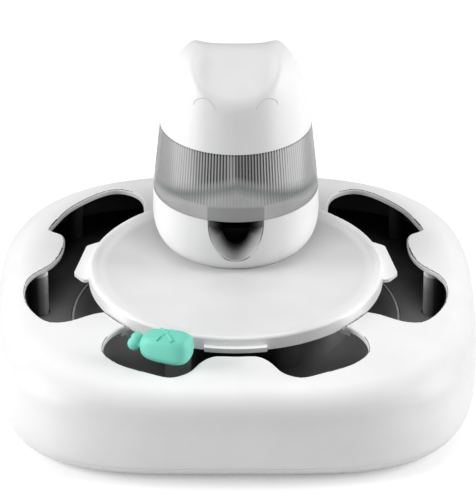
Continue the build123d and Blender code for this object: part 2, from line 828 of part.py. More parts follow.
with BuildPart() as feeding_tray:
    with BuildSketch(Plane.XZ):
        with BuildLine():
            Polyline(
                (0, dish_z - tray_wall),
                (tray_radius - tray_wall, dish_z - tray_wall),
                (tray_radius - tray_wall, tray_bottom_z),
                (tray_radius, tray_bottom_z),
                (tray_radius, tray_top_z - tray_edge_round),
            )
            RadiusArc(
                (tray_radius, tray_top_z - tray_edge_round),
                (tray_radius - tray_edge_round, tray_top_z),
                -tray_edge_round,
            )
            Spline(
                (tray_radius - tray_edge_round, tray_top_z),
                (dish_radius, dish_z),
                tangents=[(-1, 0), (-1, 0)],
            )
            Polyline((dish_radius, dish_z), (0, dish_z), (0, dish_z - tray_wall))
        make_face()
    revolve(axis=Axis.Z)
    with BuildSketch(Plane.XY.offset(front_tab_low_z)):
        with Locations((0, -tray_radius)):
            RectangleRounded(2 * front_tab_half, 2 * front_tab_reach + tab_root, front_tab_round)
        Circle(tray_radius + front_tab_reach, mode=Mode.INTERSECT)
        Circle(tray_radius - tray_wall / 2, mode=Mode.SUBTRACT)
    extrude(amount=front_tab_thick)
    with BuildSketch(Plane.XY.offset(side_tab_low_z)) as side_tabs:
        for angle in (side_tab_angle, 180 - side_tab_angle):
            with Locations(Location((*turned(angle, tray_radius + (side_tab_reach - tab_root) / 2), 0), angle)):
                Trapezoid(2 * side_tab_half, side_tab_reach + tab_root, side_tab_slope, rotation=-90)
        fillet(side_tabs.vertices(), side_tab_round)
        Circle(tray_radius - tray_wall / 2, mode=Mode.SUBTRACT)
    extrude(amount=side_tab_thick)
    with BuildSketch(Plane.XY.offset(tray_bottom_z)):
        with Locations((0, tower_y)):
            Circle(support_ring_radius)
            Circle(support_ring_radius - support_ring_wall, mode=Mode.SUBTRACT)
    extrude(amount=dish_z - tray_wall - tray_bottom_z)
    with BuildSketch(Plane.XY.offset(tray_bottom_z)):
        with Locations((0, tower_y)):
            Circle(contact_radius + slide_gap)
    extrude(amount=tray_top_z, mode=Mode.SUBTRACT)
feeding_tray.part.label = "feeding_tray"
export_step(feeding_tray.part, "parts/feeding_tray.step")

bowl_low_z = dish_z + seat_gap
contact_height = bowl_low_z - seat_z - slide_gap
pin_radius = 0.9
pin_pitch_radius = 3.6
pin_count = 3
pin_proud = 0.8
with BuildPart() as contact_block:
    with BuildSketch(Plane.XY.offset(seat_z)):
        with Locations((0, tower_y)):
            Circle(contact_radius)
            with PolarLocations(pin_pitch_radius, pin_count):
                Circle(pin_radius + shaft_gap, mode=Mode.SUBTRACT)
    extrude(amount=contact_height - pin_proud)
contact_block.part.label = "contact_block"
export_step(contact_block.part, "parts/contact_block.step")

with BuildPart() as contact_pins:
    with BuildSketch(Plane.XY.offset(seat_z)):
        with Locations((0, tower_y)):
            with PolarLocations(pin_pitch_radius, pin_count):
                Circle(pin_radius)
    extrude(amount=contact_height)
contact_pins.part.label = "contact_pins"
export_step(contact_pins.part, "parts/contact_pins.step")


# ================================================================ tower
def bowl_form(inset):
    """Solid of the tower's lower bowl, inset from its outer face."""
    with BuildPart() as form:
        with BuildSketch(tower_plane):
            with BuildLine():
                side = Spline(
                    (bowl_foot_radius - inset, bowl_low_z + inset),
                    (bowl_radius - bowl_flare - inset, bowl_low_z + bowl_flare_height),
                    (bowl_radius - inset, bowl_widest_z),
                    (seam_radius - inset, bowl_top_z),
                    tangents=[(1, 0.9), (0, 1)],
                )
                Polyline(side @ 1, (0, bowl_top_z), (0, bowl_low_z + inset), side @ 0)
            make_face()
        revolve(axis=tower_axis)
    return form.part


outlet_height = bowl_top_z - outlet_low_z


def outlet_form(inset, depth):
    """Tongue shaped solid of the outlet, from in front of the bowl to a depth behind its face."""
    with BuildPart() as form:
        with BuildSketch(Plane.XZ.offset(bowl_radius + 5 - tower_y)):
            with BuildLine():
                side = Spline(
                    (outlet_half - inset, bowl_top_z),
                    (outlet_half * 0.88 - inset, outlet_low_z + outlet_height * 0.51),
                    (outlet_half * 0.52, outlet_low_z + outlet_height * 0.14 + inset),
                    (0, outlet_low_z + inset),
                    tangents=[(0, -1), (-1, 0)],
                )
                Polyline(side @ 1, (0, bowl_top_z), side @ 0)
            make_face()
            mirror(about=Plane.YZ)
        extrude(amount=-(depth + 5))
    return form.part


ledge_drop = 8.0  # from the bowl's rim to the ledge that carries the hopper floor
ledge_z = bowl_top_z - ledge_drop
ledge_thick = 2.2
ledge_width = 4.0
bowl_inner = seam_radius - bowl_wall
with BuildPart() as tower_bowl:
    add(bowl_form(0.0))
    add(bowl_form(bowl_wall), mode=Mode.SUBTRACT)
    with BuildSketch(Plane.XY.offset(ledge_z)):
        with Locations((0, tower_y)):
            Circle(bowl_inner + 0.6)
            Circle(bowl_inner - ledge_width, mode=Mode.SUBTRACT)
    extrude(amount=ledge_thick)
    add(outlet_form(0.0, chute_depth + 0.4), mode=Mode.SUBTRACT)
    with BuildSketch(Plane.XY.offset(bowl_low_z)):
        with Locations((0, tower_y)):
            Circle(contact_radius)
    extrude(amount=0.8, mode=Mode.SUBTRACT)
tower_bowl.part.label = "tower_bowl"
export_step(tower_bowl.part, "parts/tower_bowl.step")

laser_centre = (12.0, 8.0, 117.0)
ball_radius = 5.2
laser_shaft_radius = 1.0
laser_radius = 2.6
laser_length = 12.0
lens_radius = 1.8
lens_thick = 0.8
lens_sunk = 1.0
servo_size = (9.0, 15.0)
servo_length = 9.0
servo_drop = 3.0
servo_x = outlet_half + 1.0
floor_z = ledge_z + ledge_thick + 0.1
chute_top_z = ledge_z + ledge_thick - 0.1
floor_thick = 2.4
with BuildPart() as outlet_chute:
    add(outlet_form(seat_gap, chute_depth))
    add(outlet_form(seat_gap + chute_wall, chute_depth - chute_wall), mode=Mode.SUBTRACT)
    add(bowl_form(0.3), mode=Mode.INTERSECT)
    with BuildSketch(Plane.XY.offset(chute_top_z)):
        with Locations((0, tower_y)):
            Circle(bowl_radius)
    extrude(amount=bowl_top_z - chute_top_z, mode=Mode.SUBTRACT)
    with BuildSketch(Plane.YZ.offset(laser_centre[0])):
        with Locations((laser_centre[1], laser_centre[2])):
            Circle(laser_shaft_radius + shaft_gap)
    extrude(amount=outlet_half, mode=Mode.SUBTRACT)
outlet_chute.part.label = "outlet_chute"
export_step(outlet_chute.part, "parts/outlet_chute.step")

with BuildPart() as laser_cradle:
    with Locations(laser_centre):
        Sphere(ball_radius)
    with BuildSketch(Plane.YZ.offset(laser_centre[0])):
        with Locations((laser_centre[1], laser_centre[2])):
            Circle(laser_shaft_radius)
    extrude(amount=servo_x + servo_length / 2 - laser_centre[0])
    with BuildSketch(Plane.XZ.offset(-laser_centre[1] - ball_radius)):
        with Locations((laser_centre[0], laser_centre[2])):
            Circle(laser_radius)
    extrude(amount=2 * ball_radius, mode=Mode.SUBTRACT)
laser_cradle.part.label = "laser_cradle"
export_step(laser_cradle.part, "parts/laser_cradle.step")

with BuildPart() as laser_module:
    with BuildSketch(Plane.XZ.offset(-laser_centre[1] - laser_length / 2)):
        with Locations((laser_centre[0], laser_centre[2])):
            Circle(laser_radius)
    extrude(amount=laser_length)
    with BuildSketch(Plane.XZ.offset(-laser_centre[1] + laser_length / 2 - lens_sunk)):
        with Locations((laser_centre[0], laser_centre[2])):
            Circle(lens_radius)
    extrude(amount=lens_sunk, mode=Mode.SUBTRACT)
laser_module.part.label = "laser_module"
export_step(laser_module.part, "parts/laser_module.step")

with BuildPart() as laser_lens:
    with BuildSketch(Plane.XZ.offset(-laser_centre[1] + laser_length / 2 - lens_sunk)):
        with Locations((laser_centre[0], laser_centre[2])):
            Circle(lens_radius)
    extrude(amount=lens_thick)
laser_lens.part.label = "laser_lens"
export_step(laser_lens.part, "parts/laser_lens.step")

with BuildPart() as laser_servo:
    with BuildSketch(Plane.YZ.offset(servo_x)):
        with Locations((laser_centre[1], laser_centre[2] - servo_drop)):
            Rectangle(*servo_size)
    extrude(amount=servo_length)
    with BuildSketch(Plane.YZ.offset(servo_x)):
        with Locations((laser_centre[1], laser_centre[2])):
            Circle(laser_shaft_radius + shaft_gap)
    extrude(amount=servo_length / 2 + seat_gap, mode=Mode.SUBTRACT)
laser_servo.part.label = "laser_servo"
export_step(laser_servo.part, "parts/laser_servo.step")

spigot_radius = bowl_inner - 1.0
spigot_wall = 2.0
drop_hole = (18.0, 14.0)
drop_hole_centre = (-5.0, tower_y - 43.5)
baffle_half = 20.0
baffle_wall = 2.0
baffle_back = 44.0  # radii between which the baffle stands
baffle_front = 56.5
feed_shaft_radius = 1.5
with BuildPart() as hopper_floor:
    with BuildSketch(Plane.XY.offset(floor_z)):
        with Locations((0, tower_y)):
            Circle(spigot_radius)
    extrude(amount=floor_thick)
    with BuildSketch(Plane.XY.offset(floor_z)):
        with Locations((0, tower_y)):
            Circle(spigot_radius)
            Circle(spigot_radius - spigot_wall, mode=Mode.SUBTRACT)
    extrude(amount=bowl_top_z + spigot_height - floor_z)
    with BuildSketch(Plane.XZ.offset(baffle_back - tower_y)):
        with BuildLine():
            ThreePointArc((-baffle_half, bowl_top_z), (0, baffle_top_z), (baffle_half, bowl_top_z))
            Polyline(
                (baffle_half, bowl_top_z),
                (baffle_half, floor_z + 1),
                (-baffle_half, floor_z + 1),
                (-baffle_half, bowl_top_z),
            )
        make_face()
    extrude(amount=baffle_front - baffle_back)
    with BuildSketch(Plane.XZ.offset(baffle_back - tower_y)):
        with BuildLine():
            ThreePointArc(
                (-baffle_half + baffle_wall, bowl_top_z),
                (0, baffle_top_z - baffle_wall),
                (baffle_half - baffle_wall, bowl_top_z),
            )
            Polyline(
                (baffle_half - baffle_wall, bowl_top_z),
                (baffle_half - baffle_wall, floor_z + floor_thick),
                (-baffle_half + baffle_wall, floor_z + floor_thick),
                (-baffle_half + baffle_wall, bowl_top_z),
            )
        make_face()
    extrude(amount=baffle_front - baffle_back - baffle_wall, mode=Mode.SUBTRACT)
    with BuildSketch(Plane.XY.offset(floor_z - 1)):
        with Locations((0, tower_y)):
            Circle(spigot_radius)
    extrude(amount=baffle_top_z, mode=Mode.INTERSECT)
    with BuildSketch(Plane.XY.offset(floor_z)):
        with Locations(drop_hole_centre):
            RectangleRounded(drop_hole[0], drop_hole[1], 3)
        with Locations((0, tower_y)):
            Circle(feed_shaft_radius + shaft_gap)
    extrude(amount=floor_thick, mode=Mode.SUBTRACT)
hopper_floor.part.label = "hopper_floor"
export_step(hopper_floor.part, "parts/hopper_floor.step")

blade_count = 6
blade_reach = 42.0
blade_height = 9.0
blade_thick = 2.2
rotor_radius = 9.0
rotor_dome = 5.0
impeller_z = floor_z + floor_thick + run_gap
with BuildPart() as impeller:
    with BuildSketch(Plane.XY.offset(impeller_z)):
        with Locations((0, tower_y)):
            Circle(rotor_radius)
            with PolarLocations(blade_reach / 2, blade_count, start_angle=90):
                Rectangle(blade_reach, blade_thick)
    extrude(amount=blade_height)
    with BuildSketch(Plane.XY.offset(impeller_z)):
        with Locations((0, tower_y)):
            Circle(rotor_radius)
    extrude(amount=blade_height + rotor_dome)
    fillet(impeller.edges().sort_by(Axis.Z)[-1], rotor_dome * 0.6)
    with BuildSketch(Plane.XY.offset(impeller_z)):
        with Locations((0, tower_y)):
            Circle(feed_shaft_radius)
    extrude(amount=blade_height, mode=Mode.SUBTRACT)
impeller.part.label = "impeller"
export_step(impeller.part, "parts/impeller.step")

feed_motor_radius = 12.0
feed_motor_height = 20.0
feed_motor_z = floor_z - slide_gap - feed_motor_height
with BuildPart() as feed_motor:
    with BuildSketch(Plane.XY.offset(feed_motor_z)):
        with Locations((0, tower_y)):
            Circle(feed_motor_radius)
            Circle(feed_shaft_radius + shaft_gap, mode=Mode.SUBTRACT)
    extrude(amount=feed_motor_height)
feed_motor.part.label = "feed_motor"
export_step(feed_motor.part, "parts/feed_motor.step")

with BuildPart() as feed_shaft:
    with BuildSketch(Plane.XY.offset(feed_motor_z + motor_shaft_seat)):
        with Locations((0, tower_y)):
            Circle(feed_shaft_radius)
    extrude(amount=impeller_z + blade_height - feed_motor_z - motor_shaft_seat)
feed_shaft.part.label = "feed_shaft"
export_step(feed_shaft.part, "parts/feed_shaft.step")

tower_board_y = tower_y + 14.0
tower_board_radius = 30.0
tower_board_low_z = bowl_low_z + bowl_wall
tower_board_stand = 3.0
tower_board_top_z = tower_board_low_z + tower_board_stand + board_thick
leg_radius = 2.0
with BuildPart() as control_board:
    with BuildSketch(Plane.XY.offset(tower_board_low_z + tower_board_stand)):
        with Locations((0, tower_board_y)):
            Circle(tower_board_radius)
    extrude(amount=board_thick)
    with BuildSketch(Plane.XY.offset(tower_board_top_z)):
        with Locations((-tower_board_radius / 3, tower_board_y)):
            Rectangle(chip_size, chip_size)
        with Locations((tower_board_radius / 3, tower_board_y + driver_size[1])):
            Rectangle(*driver_size)
    extrude(amount=part_height - 1)
    with BuildSketch(Plane.XY.offset(tower_board_low_z)):
        with Locations((0, tower_board_y)):
            with GridLocations(tower_board_radius * 1.2, tower_board_radius * 1.2, 2, 2):
                Circle(leg_radius)
    extrude(amount=tower_board_stand)
control_board.part.label = "control_board"
export_step(control_board.part, "parts/control_board.step")

hopper_low_z = bowl_top_z + seat_gap
with BuildPart() as hopper_bin:
    with BuildSketch(tower_plane):
        with BuildLine():
            Polyline(
                (seam_radius, hopper_low_z),
                (hopper_top_radius, hopper_top_z),
                (hopper_top_radius - hopper_wall, hopper_top_z),
                (seam_radius - hopper_wall, hopper_low_z),
                close=True,
            )
        make_face()
    revolve(axis=tower_axis)
hopper_bin.part.label = "hopper_bin"
export_step(hopper_bin.part, "parts/hopper_bin.step")

# ================================================================ lid
lid_low_z = hopper_top_z + seat_gap
ridge_line_z = 246.0  # the lowest line between the ears
scoop_flat = 14.0  # half width of the brow's scoop where it is flat
scoop_round = 31.0  # it turns up to each side at this radius
scoop_sweep = 65.0
scoop_tilt = 29.0  # it falls forwards, and back, at this angle
head_height = ridge_line_z - lid_low_z


# Each pair is a share of the lid's half width and of its height up to the ridge line.
head_profile = [(1.0, 0.0), (0.94, 0.263), (0.877, 0.53), (0.775, 0.78), (0.642, 0.914), (0.439, 0.99)]
head_peak = 1.02


def head_form(inset):
    """Solid of the cat's head: a dome scooped away before and behind, so that two ears stand up."""
    with BuildPart() as form:
        with BuildSketch(tower_plane):
            with BuildLine():
                points = [(hopper_top_radius * across - inset, lid_low_z + head_height * up) for across, up in head_profile]
                side = Spline(*points, (0, lid_low_z + head_height * head_peak - inset), tangents=[(-0.2, 1), (-1, 0)])
                Polyline(side @ 1, (0, lid_low_z), side @ 0)
            make_face()
        revolve(axis=tower_axis)
        for side in (-1, 1):
            slope = math.radians(scoop_tilt)
            away = (0, side * math.cos(slope), -math.sin(slope))
            above = (0, side * math.sin(slope), math.cos(slope))
            start = (0, tower_y - above[1] * inset, ridge_line_z - above[2] * inset)
            with BuildSketch(Plane(origin=start, x_dir=(-side, 0, 0), z_dir=away)):
                with BuildLine():
                    turn_up = CenterArc((scoop_flat, scoop_round), scoop_round, -90, scoop_sweep)
                    Polyline(turn_up @ 1, (0, (turn_up @ 1).Y), (0, 0), turn_up @ 0)
                make_face()
                mirror(about=Plane.YZ)
            extrude(amount=2 * hopper_top_radius, both=True, mode=Mode.SUBTRACT)
    return form.part


spigot_drop = 7.0
lid_spigot = hopper_top_radius - hopper_wall - 0.5
lid_spigot_wall = 2.2
seal_z = lid_low_z - 5.0
seal_height = 2.0
seal_sunk = 0.9
eye_line_width = 0.9
eye_line_depth = 0.5
eye_line = [(-31.9, 213.8), (-30.9, 218.0), (-26.3, 220.8), (-20.3, 219.0), (-14.6, 211.8)]
with BuildPart() as eye_lines:
    with BuildSketch(Plane.XZ.offset(20)):
        with BuildLine():
            Spline(*eye_line)
        trace(line_width=eye_line_width)
        mirror(about=Plane.YZ)
    extrude(amount=-tower_y - 20)
    add(head_form(eye_line_depth), mode=Mode.SUBTRACT)

with BuildPart() as head_lid:
    add(head_form(0.0))
    add(head_form(head_wall), mode=Mode.SUBTRACT)
    add(eye_lines.part, mode=Mode.SUBTRACT)
    with BuildSketch(Plane.XY.offset(lid_low_z)):
        with Locations((0, tower_y)):
            Circle(hopper_top_radius - head_wall / 2)
            Circle(lid_spigot - lid_spigot_wall, mode=Mode.SUBTRACT)
    extrude(amount=lid_spigot_wall)
    with BuildSketch(Plane.XY.offset(lid_low_z - spigot_drop)):
        with Locations((0, tower_y)):
            Circle(lid_spigot)
            Circle(lid_spigot - lid_spigot_wall, mode=Mode.SUBTRACT)
    extrude(amount=spigot_drop)
    with BuildSketch(Plane.XY.offset(seal_z)):
        with Locations((0, tower_y)):
            Circle(lid_spigot + seal_sunk)
            Circle(lid_spigot - seal_sunk, mode=Mode.SUBTRACT)
    extrude(amount=seal_height, mode=Mode.SUBTRACT)
head_lid.part.label = "head_lid"
export_step(head_lid.part, "parts/head_lid.step")

with BuildPart() as lid_seal:
    with BuildSketch(Plane.XY.offset(seal_z + 0.1)):
        with Locations((0, tower_y)):
            Circle(lid_spigot + hopper_wall / 4)
            Circle(lid_spigot - seal_sunk + shaft_gap, mode=Mode.SUBTRACT)
    extrude(amount=seal_height - 0.2)
lid_seal.part.label = "lid_seal"
export_step(lid_seal.part, "parts/lid_seal.step")
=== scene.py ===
import math

import bmesh
import bpy
import numpy as np
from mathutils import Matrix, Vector
from mathutils.geometry import delaunay_2d_cdt


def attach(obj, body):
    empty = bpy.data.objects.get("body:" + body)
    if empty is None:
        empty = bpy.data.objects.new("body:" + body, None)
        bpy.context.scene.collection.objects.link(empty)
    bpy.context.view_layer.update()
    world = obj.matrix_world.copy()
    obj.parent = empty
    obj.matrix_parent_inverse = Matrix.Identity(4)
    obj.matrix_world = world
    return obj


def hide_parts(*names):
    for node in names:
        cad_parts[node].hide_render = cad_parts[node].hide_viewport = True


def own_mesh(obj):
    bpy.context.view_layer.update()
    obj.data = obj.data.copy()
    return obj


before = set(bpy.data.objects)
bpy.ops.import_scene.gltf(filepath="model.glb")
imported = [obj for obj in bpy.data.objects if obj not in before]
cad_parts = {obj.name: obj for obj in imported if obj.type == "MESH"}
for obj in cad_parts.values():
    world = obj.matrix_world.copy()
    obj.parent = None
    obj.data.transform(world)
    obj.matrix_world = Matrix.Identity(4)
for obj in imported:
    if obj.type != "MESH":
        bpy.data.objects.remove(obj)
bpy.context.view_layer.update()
scene = bpy.context.scene
MM = 0.001

# --- sizes, in millimetres
BASE_HALF, TOP_HALF, FLOOR_HALF = 180.0, 150.0, 155.0
TOP_Z, SIDE_TOP_Z, SIDE_LOW_Z, PARTING_Z = 77.5, 52.4, 28.3, 14.0
TOP_POWER, FLOOR_POWER = 2.9, 3.9
COVER_WALL = 4.0
SEAT_RADIUS, SEAT_Z, HUB_RADIUS, HUB_LOW_Z, HUB_RIM = 112.2, 74.3, 96.0, 70.3, 117.2
LIP_ROUND = 1.5
TOWER_Y = 49.2
BOWL_TOP_Z, SEAM_RADIUS = 128.4, 62.5
HOPPER_TOP_Z, HOPPER_TOP_RADIUS, HOPPER_WALL = 182.0, 57.0, 2.2
RIBS, RIB_DEPTH = 156, 0.2
TRAY_Z = 85.4

# The right half's posts, place and radius; the first stands at the side.
POSTS = [(149.9, 7.0, 8.0), (120.0, -124.0, 6.0), (126.0, 127.0, 6.0)]
POST_LOW_Z = 17.2

# The openings' outlines, of the left half, and what moves all of them.
FRONT_OPENING = [
    (0.0, -123.3), (-16.0, -123.6), (-26.0, -132.5), (-34.5, -146.4), (-47.0, -152.8), (-60.0, -148.6),
    (-86.0, -133.0), (-96.5, -118.0), (-96.0, -101.0), (-89.0, -87.0), (-76.0, -78.0),
]
SIDE_OPENING_FRONT = [
    (-84.0, -57.0), (-94.0, -57.6), (-107.0, -61.6), (-122.0, -70.8), (-137.0, -73.2), (-148.0, -62.5),
    (-158.6, -28.0), (-155.6, -6.0), (-142.0, 11.5), (-134.6, 27.0), (-131.5, 48.0), (-134.5, 61.5),
    (-143.6, 69.6),
]
SIDE_OPENING_BACK = [
    (-143.6, 71.6), (-134.5, 94.0), (-113.5, 122.5), (-92.0, 134.6), (-76.5, 125.0), (-71.8, 106.0),
    (-71.8, 80.0),
]
OPENING_SCALE, OPENING_SHIFT = (0.995, 1.0), (0.0, 0.9)

# --- painted light and shade: a place and a grey
# The hopper's pale and dark stripes from left to right, with a paler seam left of the middle; the greys
# paint light and shade.
PALE_STRIPE_SHADING = [
    (0.0, 0.33), (0.08, 0.46), (0.13, 0.68), (0.20, 0.74), (0.27, 0.50), (0.32, 0.43), (0.42, 0.42),
    (0.455, 0.52), (0.49, 0.52), (0.505, 0.33), (0.60, 0.35), (0.70, 0.58), (0.78, 0.85), (0.90, 0.82),
    (0.94, 0.54), (1.0, 0.44),
]
DARK_STRIPE_SHADING = [
    (0.0, 0.29), (0.08, 0.40), (0.13, 0.52), (0.20, 0.42), (0.27, 0.11), (0.32, 0.01), (0.44, 0.005),
    (0.455, 0.13), (0.49, 0.13), (0.505, 0.002), (0.62, 0.005), (0.70, 0.01), (0.77, 0.18), (0.83, 0.55),
    (0.90, 0.58), (0.94, 0.42), (1.0, 0.39),
]
# Each list paints light and shade along one axis, for one material.
COVER_TONES = [(0.042, 0.82), (0.052, 0.80), (0.063, 0.78), (0.069, 0.87), (0.0745, 0.97)]
HEAD_TONES = [(0.0, 0.755), (0.022, 0.765), (0.031, 0.86), (0.05, 0.89)]
BOWL_TONES = [(0.0, 0.775), (0.02, 0.76), (0.035, 0.79), (0.05, 0.92), (0.058, 0.97)]
DECK_TONES = [(-0.17, 0.30), (-0.02, 0.29), (0.01, 0.17), (0.025, 0.11), (0.057, 0.02), (0.09, 0.002)]
RIDGE_TONES = [(-0.17, 0.66), (0.01, 0.66), (0.057, 0.17), (0.09, 0.02)]
POST_TONES = [(0.1415, 0.95), (0.1455, 0.32), (0.1500, 0.02)]
TRAY_TONES = [
    (-0.1125, 0.98), (-0.107, 0.92), (-0.098, 0.83), (-0.04, 0.82), (0.0, 0.78), (0.03, 0.73),
    (0.055, 0.66), (0.11, 0.62),
]
CHUTE_SHADE_TONES = [(-0.0125, 0.78), (-0.0085, 0.46), (-0.002, 0.10), (0.004, 0.012)]
MOUTH_TOP_SHADE_TONES = [(0.010, 0.001), (0.0133, 0.011), (0.0162, 0.055), (0.019, 0.21), (0.0205, 0.4)]


# --- camera
def make_camera():
    """Long lens, in front, looking down on the tray."""
    elevation = math.radians(28.8)
    distance = 3010.0
    pixel = 0.7525
    across, up = 2.2 * pixel, 14.6 * pixel
    back = Vector((0.0, -math.cos(elevation), math.sin(elevation)))
    above = Vector((0.0, math.sin(elevation), math.cos(elevation)))
    aim = Vector((across, 0.0, TRAY_Z)) + above * up
    camera = bpy.data.objects.new("camera", bpy.data.cameras.new("camera"))
    scene.collection.objects.link(camera)
    camera.location = (aim + back * distance) * MM
    camera.rotation_mode = "QUATERNION"
    camera.rotation_quaternion = (-back).to_track_quat("-Z", "Y")
    camera.data.sensor_width, camera.data.lens = 36.0, 288.0
    camera.data.clip_start, camera.data.clip_end = 0.1, 50.0
    scene.camera = camera


# --- nodes
def new_material(name):
    made = bpy.data.materials.new(name)
    made.use_nodes = True
    tree = made.node_tree
    return made, tree, tree.nodes["Principled BSDF"]


def add_node(tree, kind, **values):
    node = tree.nodes.new(kind)
    for key, value in values.items():
        setattr(node, key, value)
    return node


def feed(tree, node, values):
    """Gives inputs another node's output, a number, or the three numbers of a colour or a place."""
    for name, value in values.items():
        socket = node.inputs[name]
        if isinstance(value, bpy.types.NodeSocket):
            tree.links.new(value, socket)
        elif isinstance(value, tuple):
            socket.default_value = (*value, 1.0)[: len(socket.default_value)]
        else:
            socket.default_value = value


def maths(tree, operation, *values):
    node = add_node(tree, "ShaderNodeMath", operation=operation)
    feed(tree, node, dict(enumerate(values)))
    return node.outputs["Value"]


def spread(tree, value, low, high, to_low=0.0, to_high=1.0):
    """How far a value is from low to high, from 0 to 1 or between two other numbers."""
    node = add_node(tree, "ShaderNodeMapRange")
    feed(tree, node, {"Value": value, "From Min": low, "From Max": high})
    feed(tree, node, {"To Min": to_low, "To Max": to_high})
    return node.outputs["Result"]


def blended(tree, first, second, factor, blend_type="MIX"):
    """Two colours mixed."""
    node = add_node(tree, "ShaderNodeMix", data_type="RGBA", blend_type=blend_type)
    feed(tree, node, {"Factor": factor, "A": first, "B": second})
    return node.outputs["Result"]


def ramp(tree, factor, stops):
    node = add_node(tree, "ShaderNodeValToRGB")
    band = node.color_ramp
    while len(band.elements) < len(stops):
        band.elements.new(0.5)
    for element, (position, colour) in zip(band.elements, stops):
        element.position = position
        element.color = (*colour, 1.0)
    feed(tree, node, {"Fac": factor})
    return node.outputs["Color"]


def greys(tree, factor, stops):
    return ramp(tree, factor, [(spot, (tone,) * 3) for spot, tone in stops])


def object_place(tree):
    return add_node(tree, "ShaderNodeTexCoord").outputs["Object"]


def object_noise(tree, scale, detail=3.0):
    """Noise over the object's own coordinates; the scale is in waves to the metre."""
    noise = add_node(tree, "ShaderNodeTexNoise")
    feed(tree, noise, {"Vector": object_place(tree), "Scale": scale, "Detail": detail})
    return noise.outputs["Fac"]


def object_axes(tree, centre_y=0.0):
    """The object's own coordinates in metres, with y from a centre."""
    split = add_node(tree, "ShaderNodeSeparateXYZ")
    feed(tree, split, {"Vector": object_place(tree)})
    x, y, z = (split.outputs[axis] for axis in "XYZ")
    return x, maths(tree, "SUBTRACT", y, centre_y), z


def plan_distance(tree, centre_y=0.0):
    """Distance from an upright axis, in metres."""
    x, y, _ = object_axes(tree, centre_y)
    squares = [maths(tree, "MULTIPLY", value, value) for value in (x, y)]
    return maths(tree, "SQRT", maths(tree, "ADD", *squares))


def vary_colour(tree, shader, noise, colour, low, high):
    """Base colour that wanders between two shades."""
    dark, light = (tuple(min(1.0, channel * factor) for channel in colour) for factor in (low, high))
    feed(tree, shader, {"Base Color": ramp(tree, noise, [(0.3, dark), (0.7, light)])})


def vary_roughness(tree, shader, noise, roughness, swing, first=0.35, last=0.65):
    """Roughness that wanders by a share of itself."""
    low, high = roughness * (1 - swing), min(1.0, roughness * (1 + swing))
    feed(tree, shader, {"Roughness": greys(tree, noise, [(first, low), (last, high)])})


def base_colour(made):
    """A material's tree and shader, and the output that its colour comes from."""
    shader = made.node_tree.nodes["Principled BSDF"]
    return made.node_tree, shader, shader.inputs["Base Color"].links[0].from_socket


# --- materials
def plastic(name, colour, roughness, mottle=0.02, grain=900.0, bump=0.04):
    """Moulded plastic: faint colour drift, fine moulded grain and a roughness that wanders a little."""
    made, tree, shader = new_material(name)
    vary_colour(tree, shader, object_noise(tree, 14.0), colour, 1 - mottle, 1 + mottle)
    vary_roughness(tree, shader, object_noise(tree, 45.0), roughness, 0.12)
    relief = add_node(tree, "ShaderNodeBump")
    feed(tree, relief, {"Height": object_noise(tree, grain, 2.0), "Strength": bump, "Distance": 0.0002})
    feed(tree, shader, {"Normal": relief.outputs["Normal"]})
    return made


def shaded_plastic(name, stops, roughness, axis="Y", bump=0.04, tab_shadow_half=0.0):
    """Moulded plastic with painted light and shade along one axis, and a painted shadow slot in the middle
    in front.

    The stops are metres and greys. X counts the same to both sides."""
    made = plastic(name, (0.05,) * 3, roughness, bump=bump)
    tree, shader, _ = base_colour(made)
    x, y, z = object_axes(tree)
    aside = maths(tree, "ABSOLUTE", x)
    low, high = stops[0][0], stops[-1][0]
    share = spread(tree, {"X": aside, "Y": y, "Z": z}[axis], low, high)
    tones = greys(tree, share, [((spot - low) / (high - low), tone) for spot, tone in stops])
    drift = greys(tree, object_noise(tree, 25.0), [(0.3, 0.95), (0.7, 1.0)])
    colour = blended(tree, tones, drift, 1.0, "MULTIPLY")
    # The slot is a painted shadow under the tray's front tab.
    if tab_shadow_half:
        beside = spread(tree, aside, tab_shadow_half, tab_shadow_half * 2.1)
        behind = spread(tree, y, -0.012, -0.002)
        colour = blended(tree, (0.002,) * 3, colour, maths(tree, "MAXIMUM", beside, behind))
    feed(tree, shader, {"Base Color": colour})
    return made


def shade_near(made, centre_y, near, far, tone):
    """Darkens a material towards an upright axis, as the piece that stands there shades it."""
    tree, shader, colour = base_colour(made)
    share = spread(tree, plan_distance(tree, centre_y), near, far)
    shadow = greys(tree, share, [(0.0, tone), (1.0, 1.0)])
    feed(tree, shader, {"Base Color": blended(tree, colour, shadow, 1.0, "MULTIPLY")})


def rim_highlight(made, start, full, tone):
    """Paints a highlight on a round piece's material towards its rim, to the left and right."""
    tree, shader, colour = base_colour(made)
    aside = spread(tree, maths(tree, "ABSOLUTE", object_axes(tree)[0]), 0.055, 0.085)
    rim = maths(tree, "MULTIPLY", spread(tree, plan_distance(tree), start, full), aside)
    feed(tree, shader, {"Base Color": blended(tree, colour, (tone,) * 3, rim)})


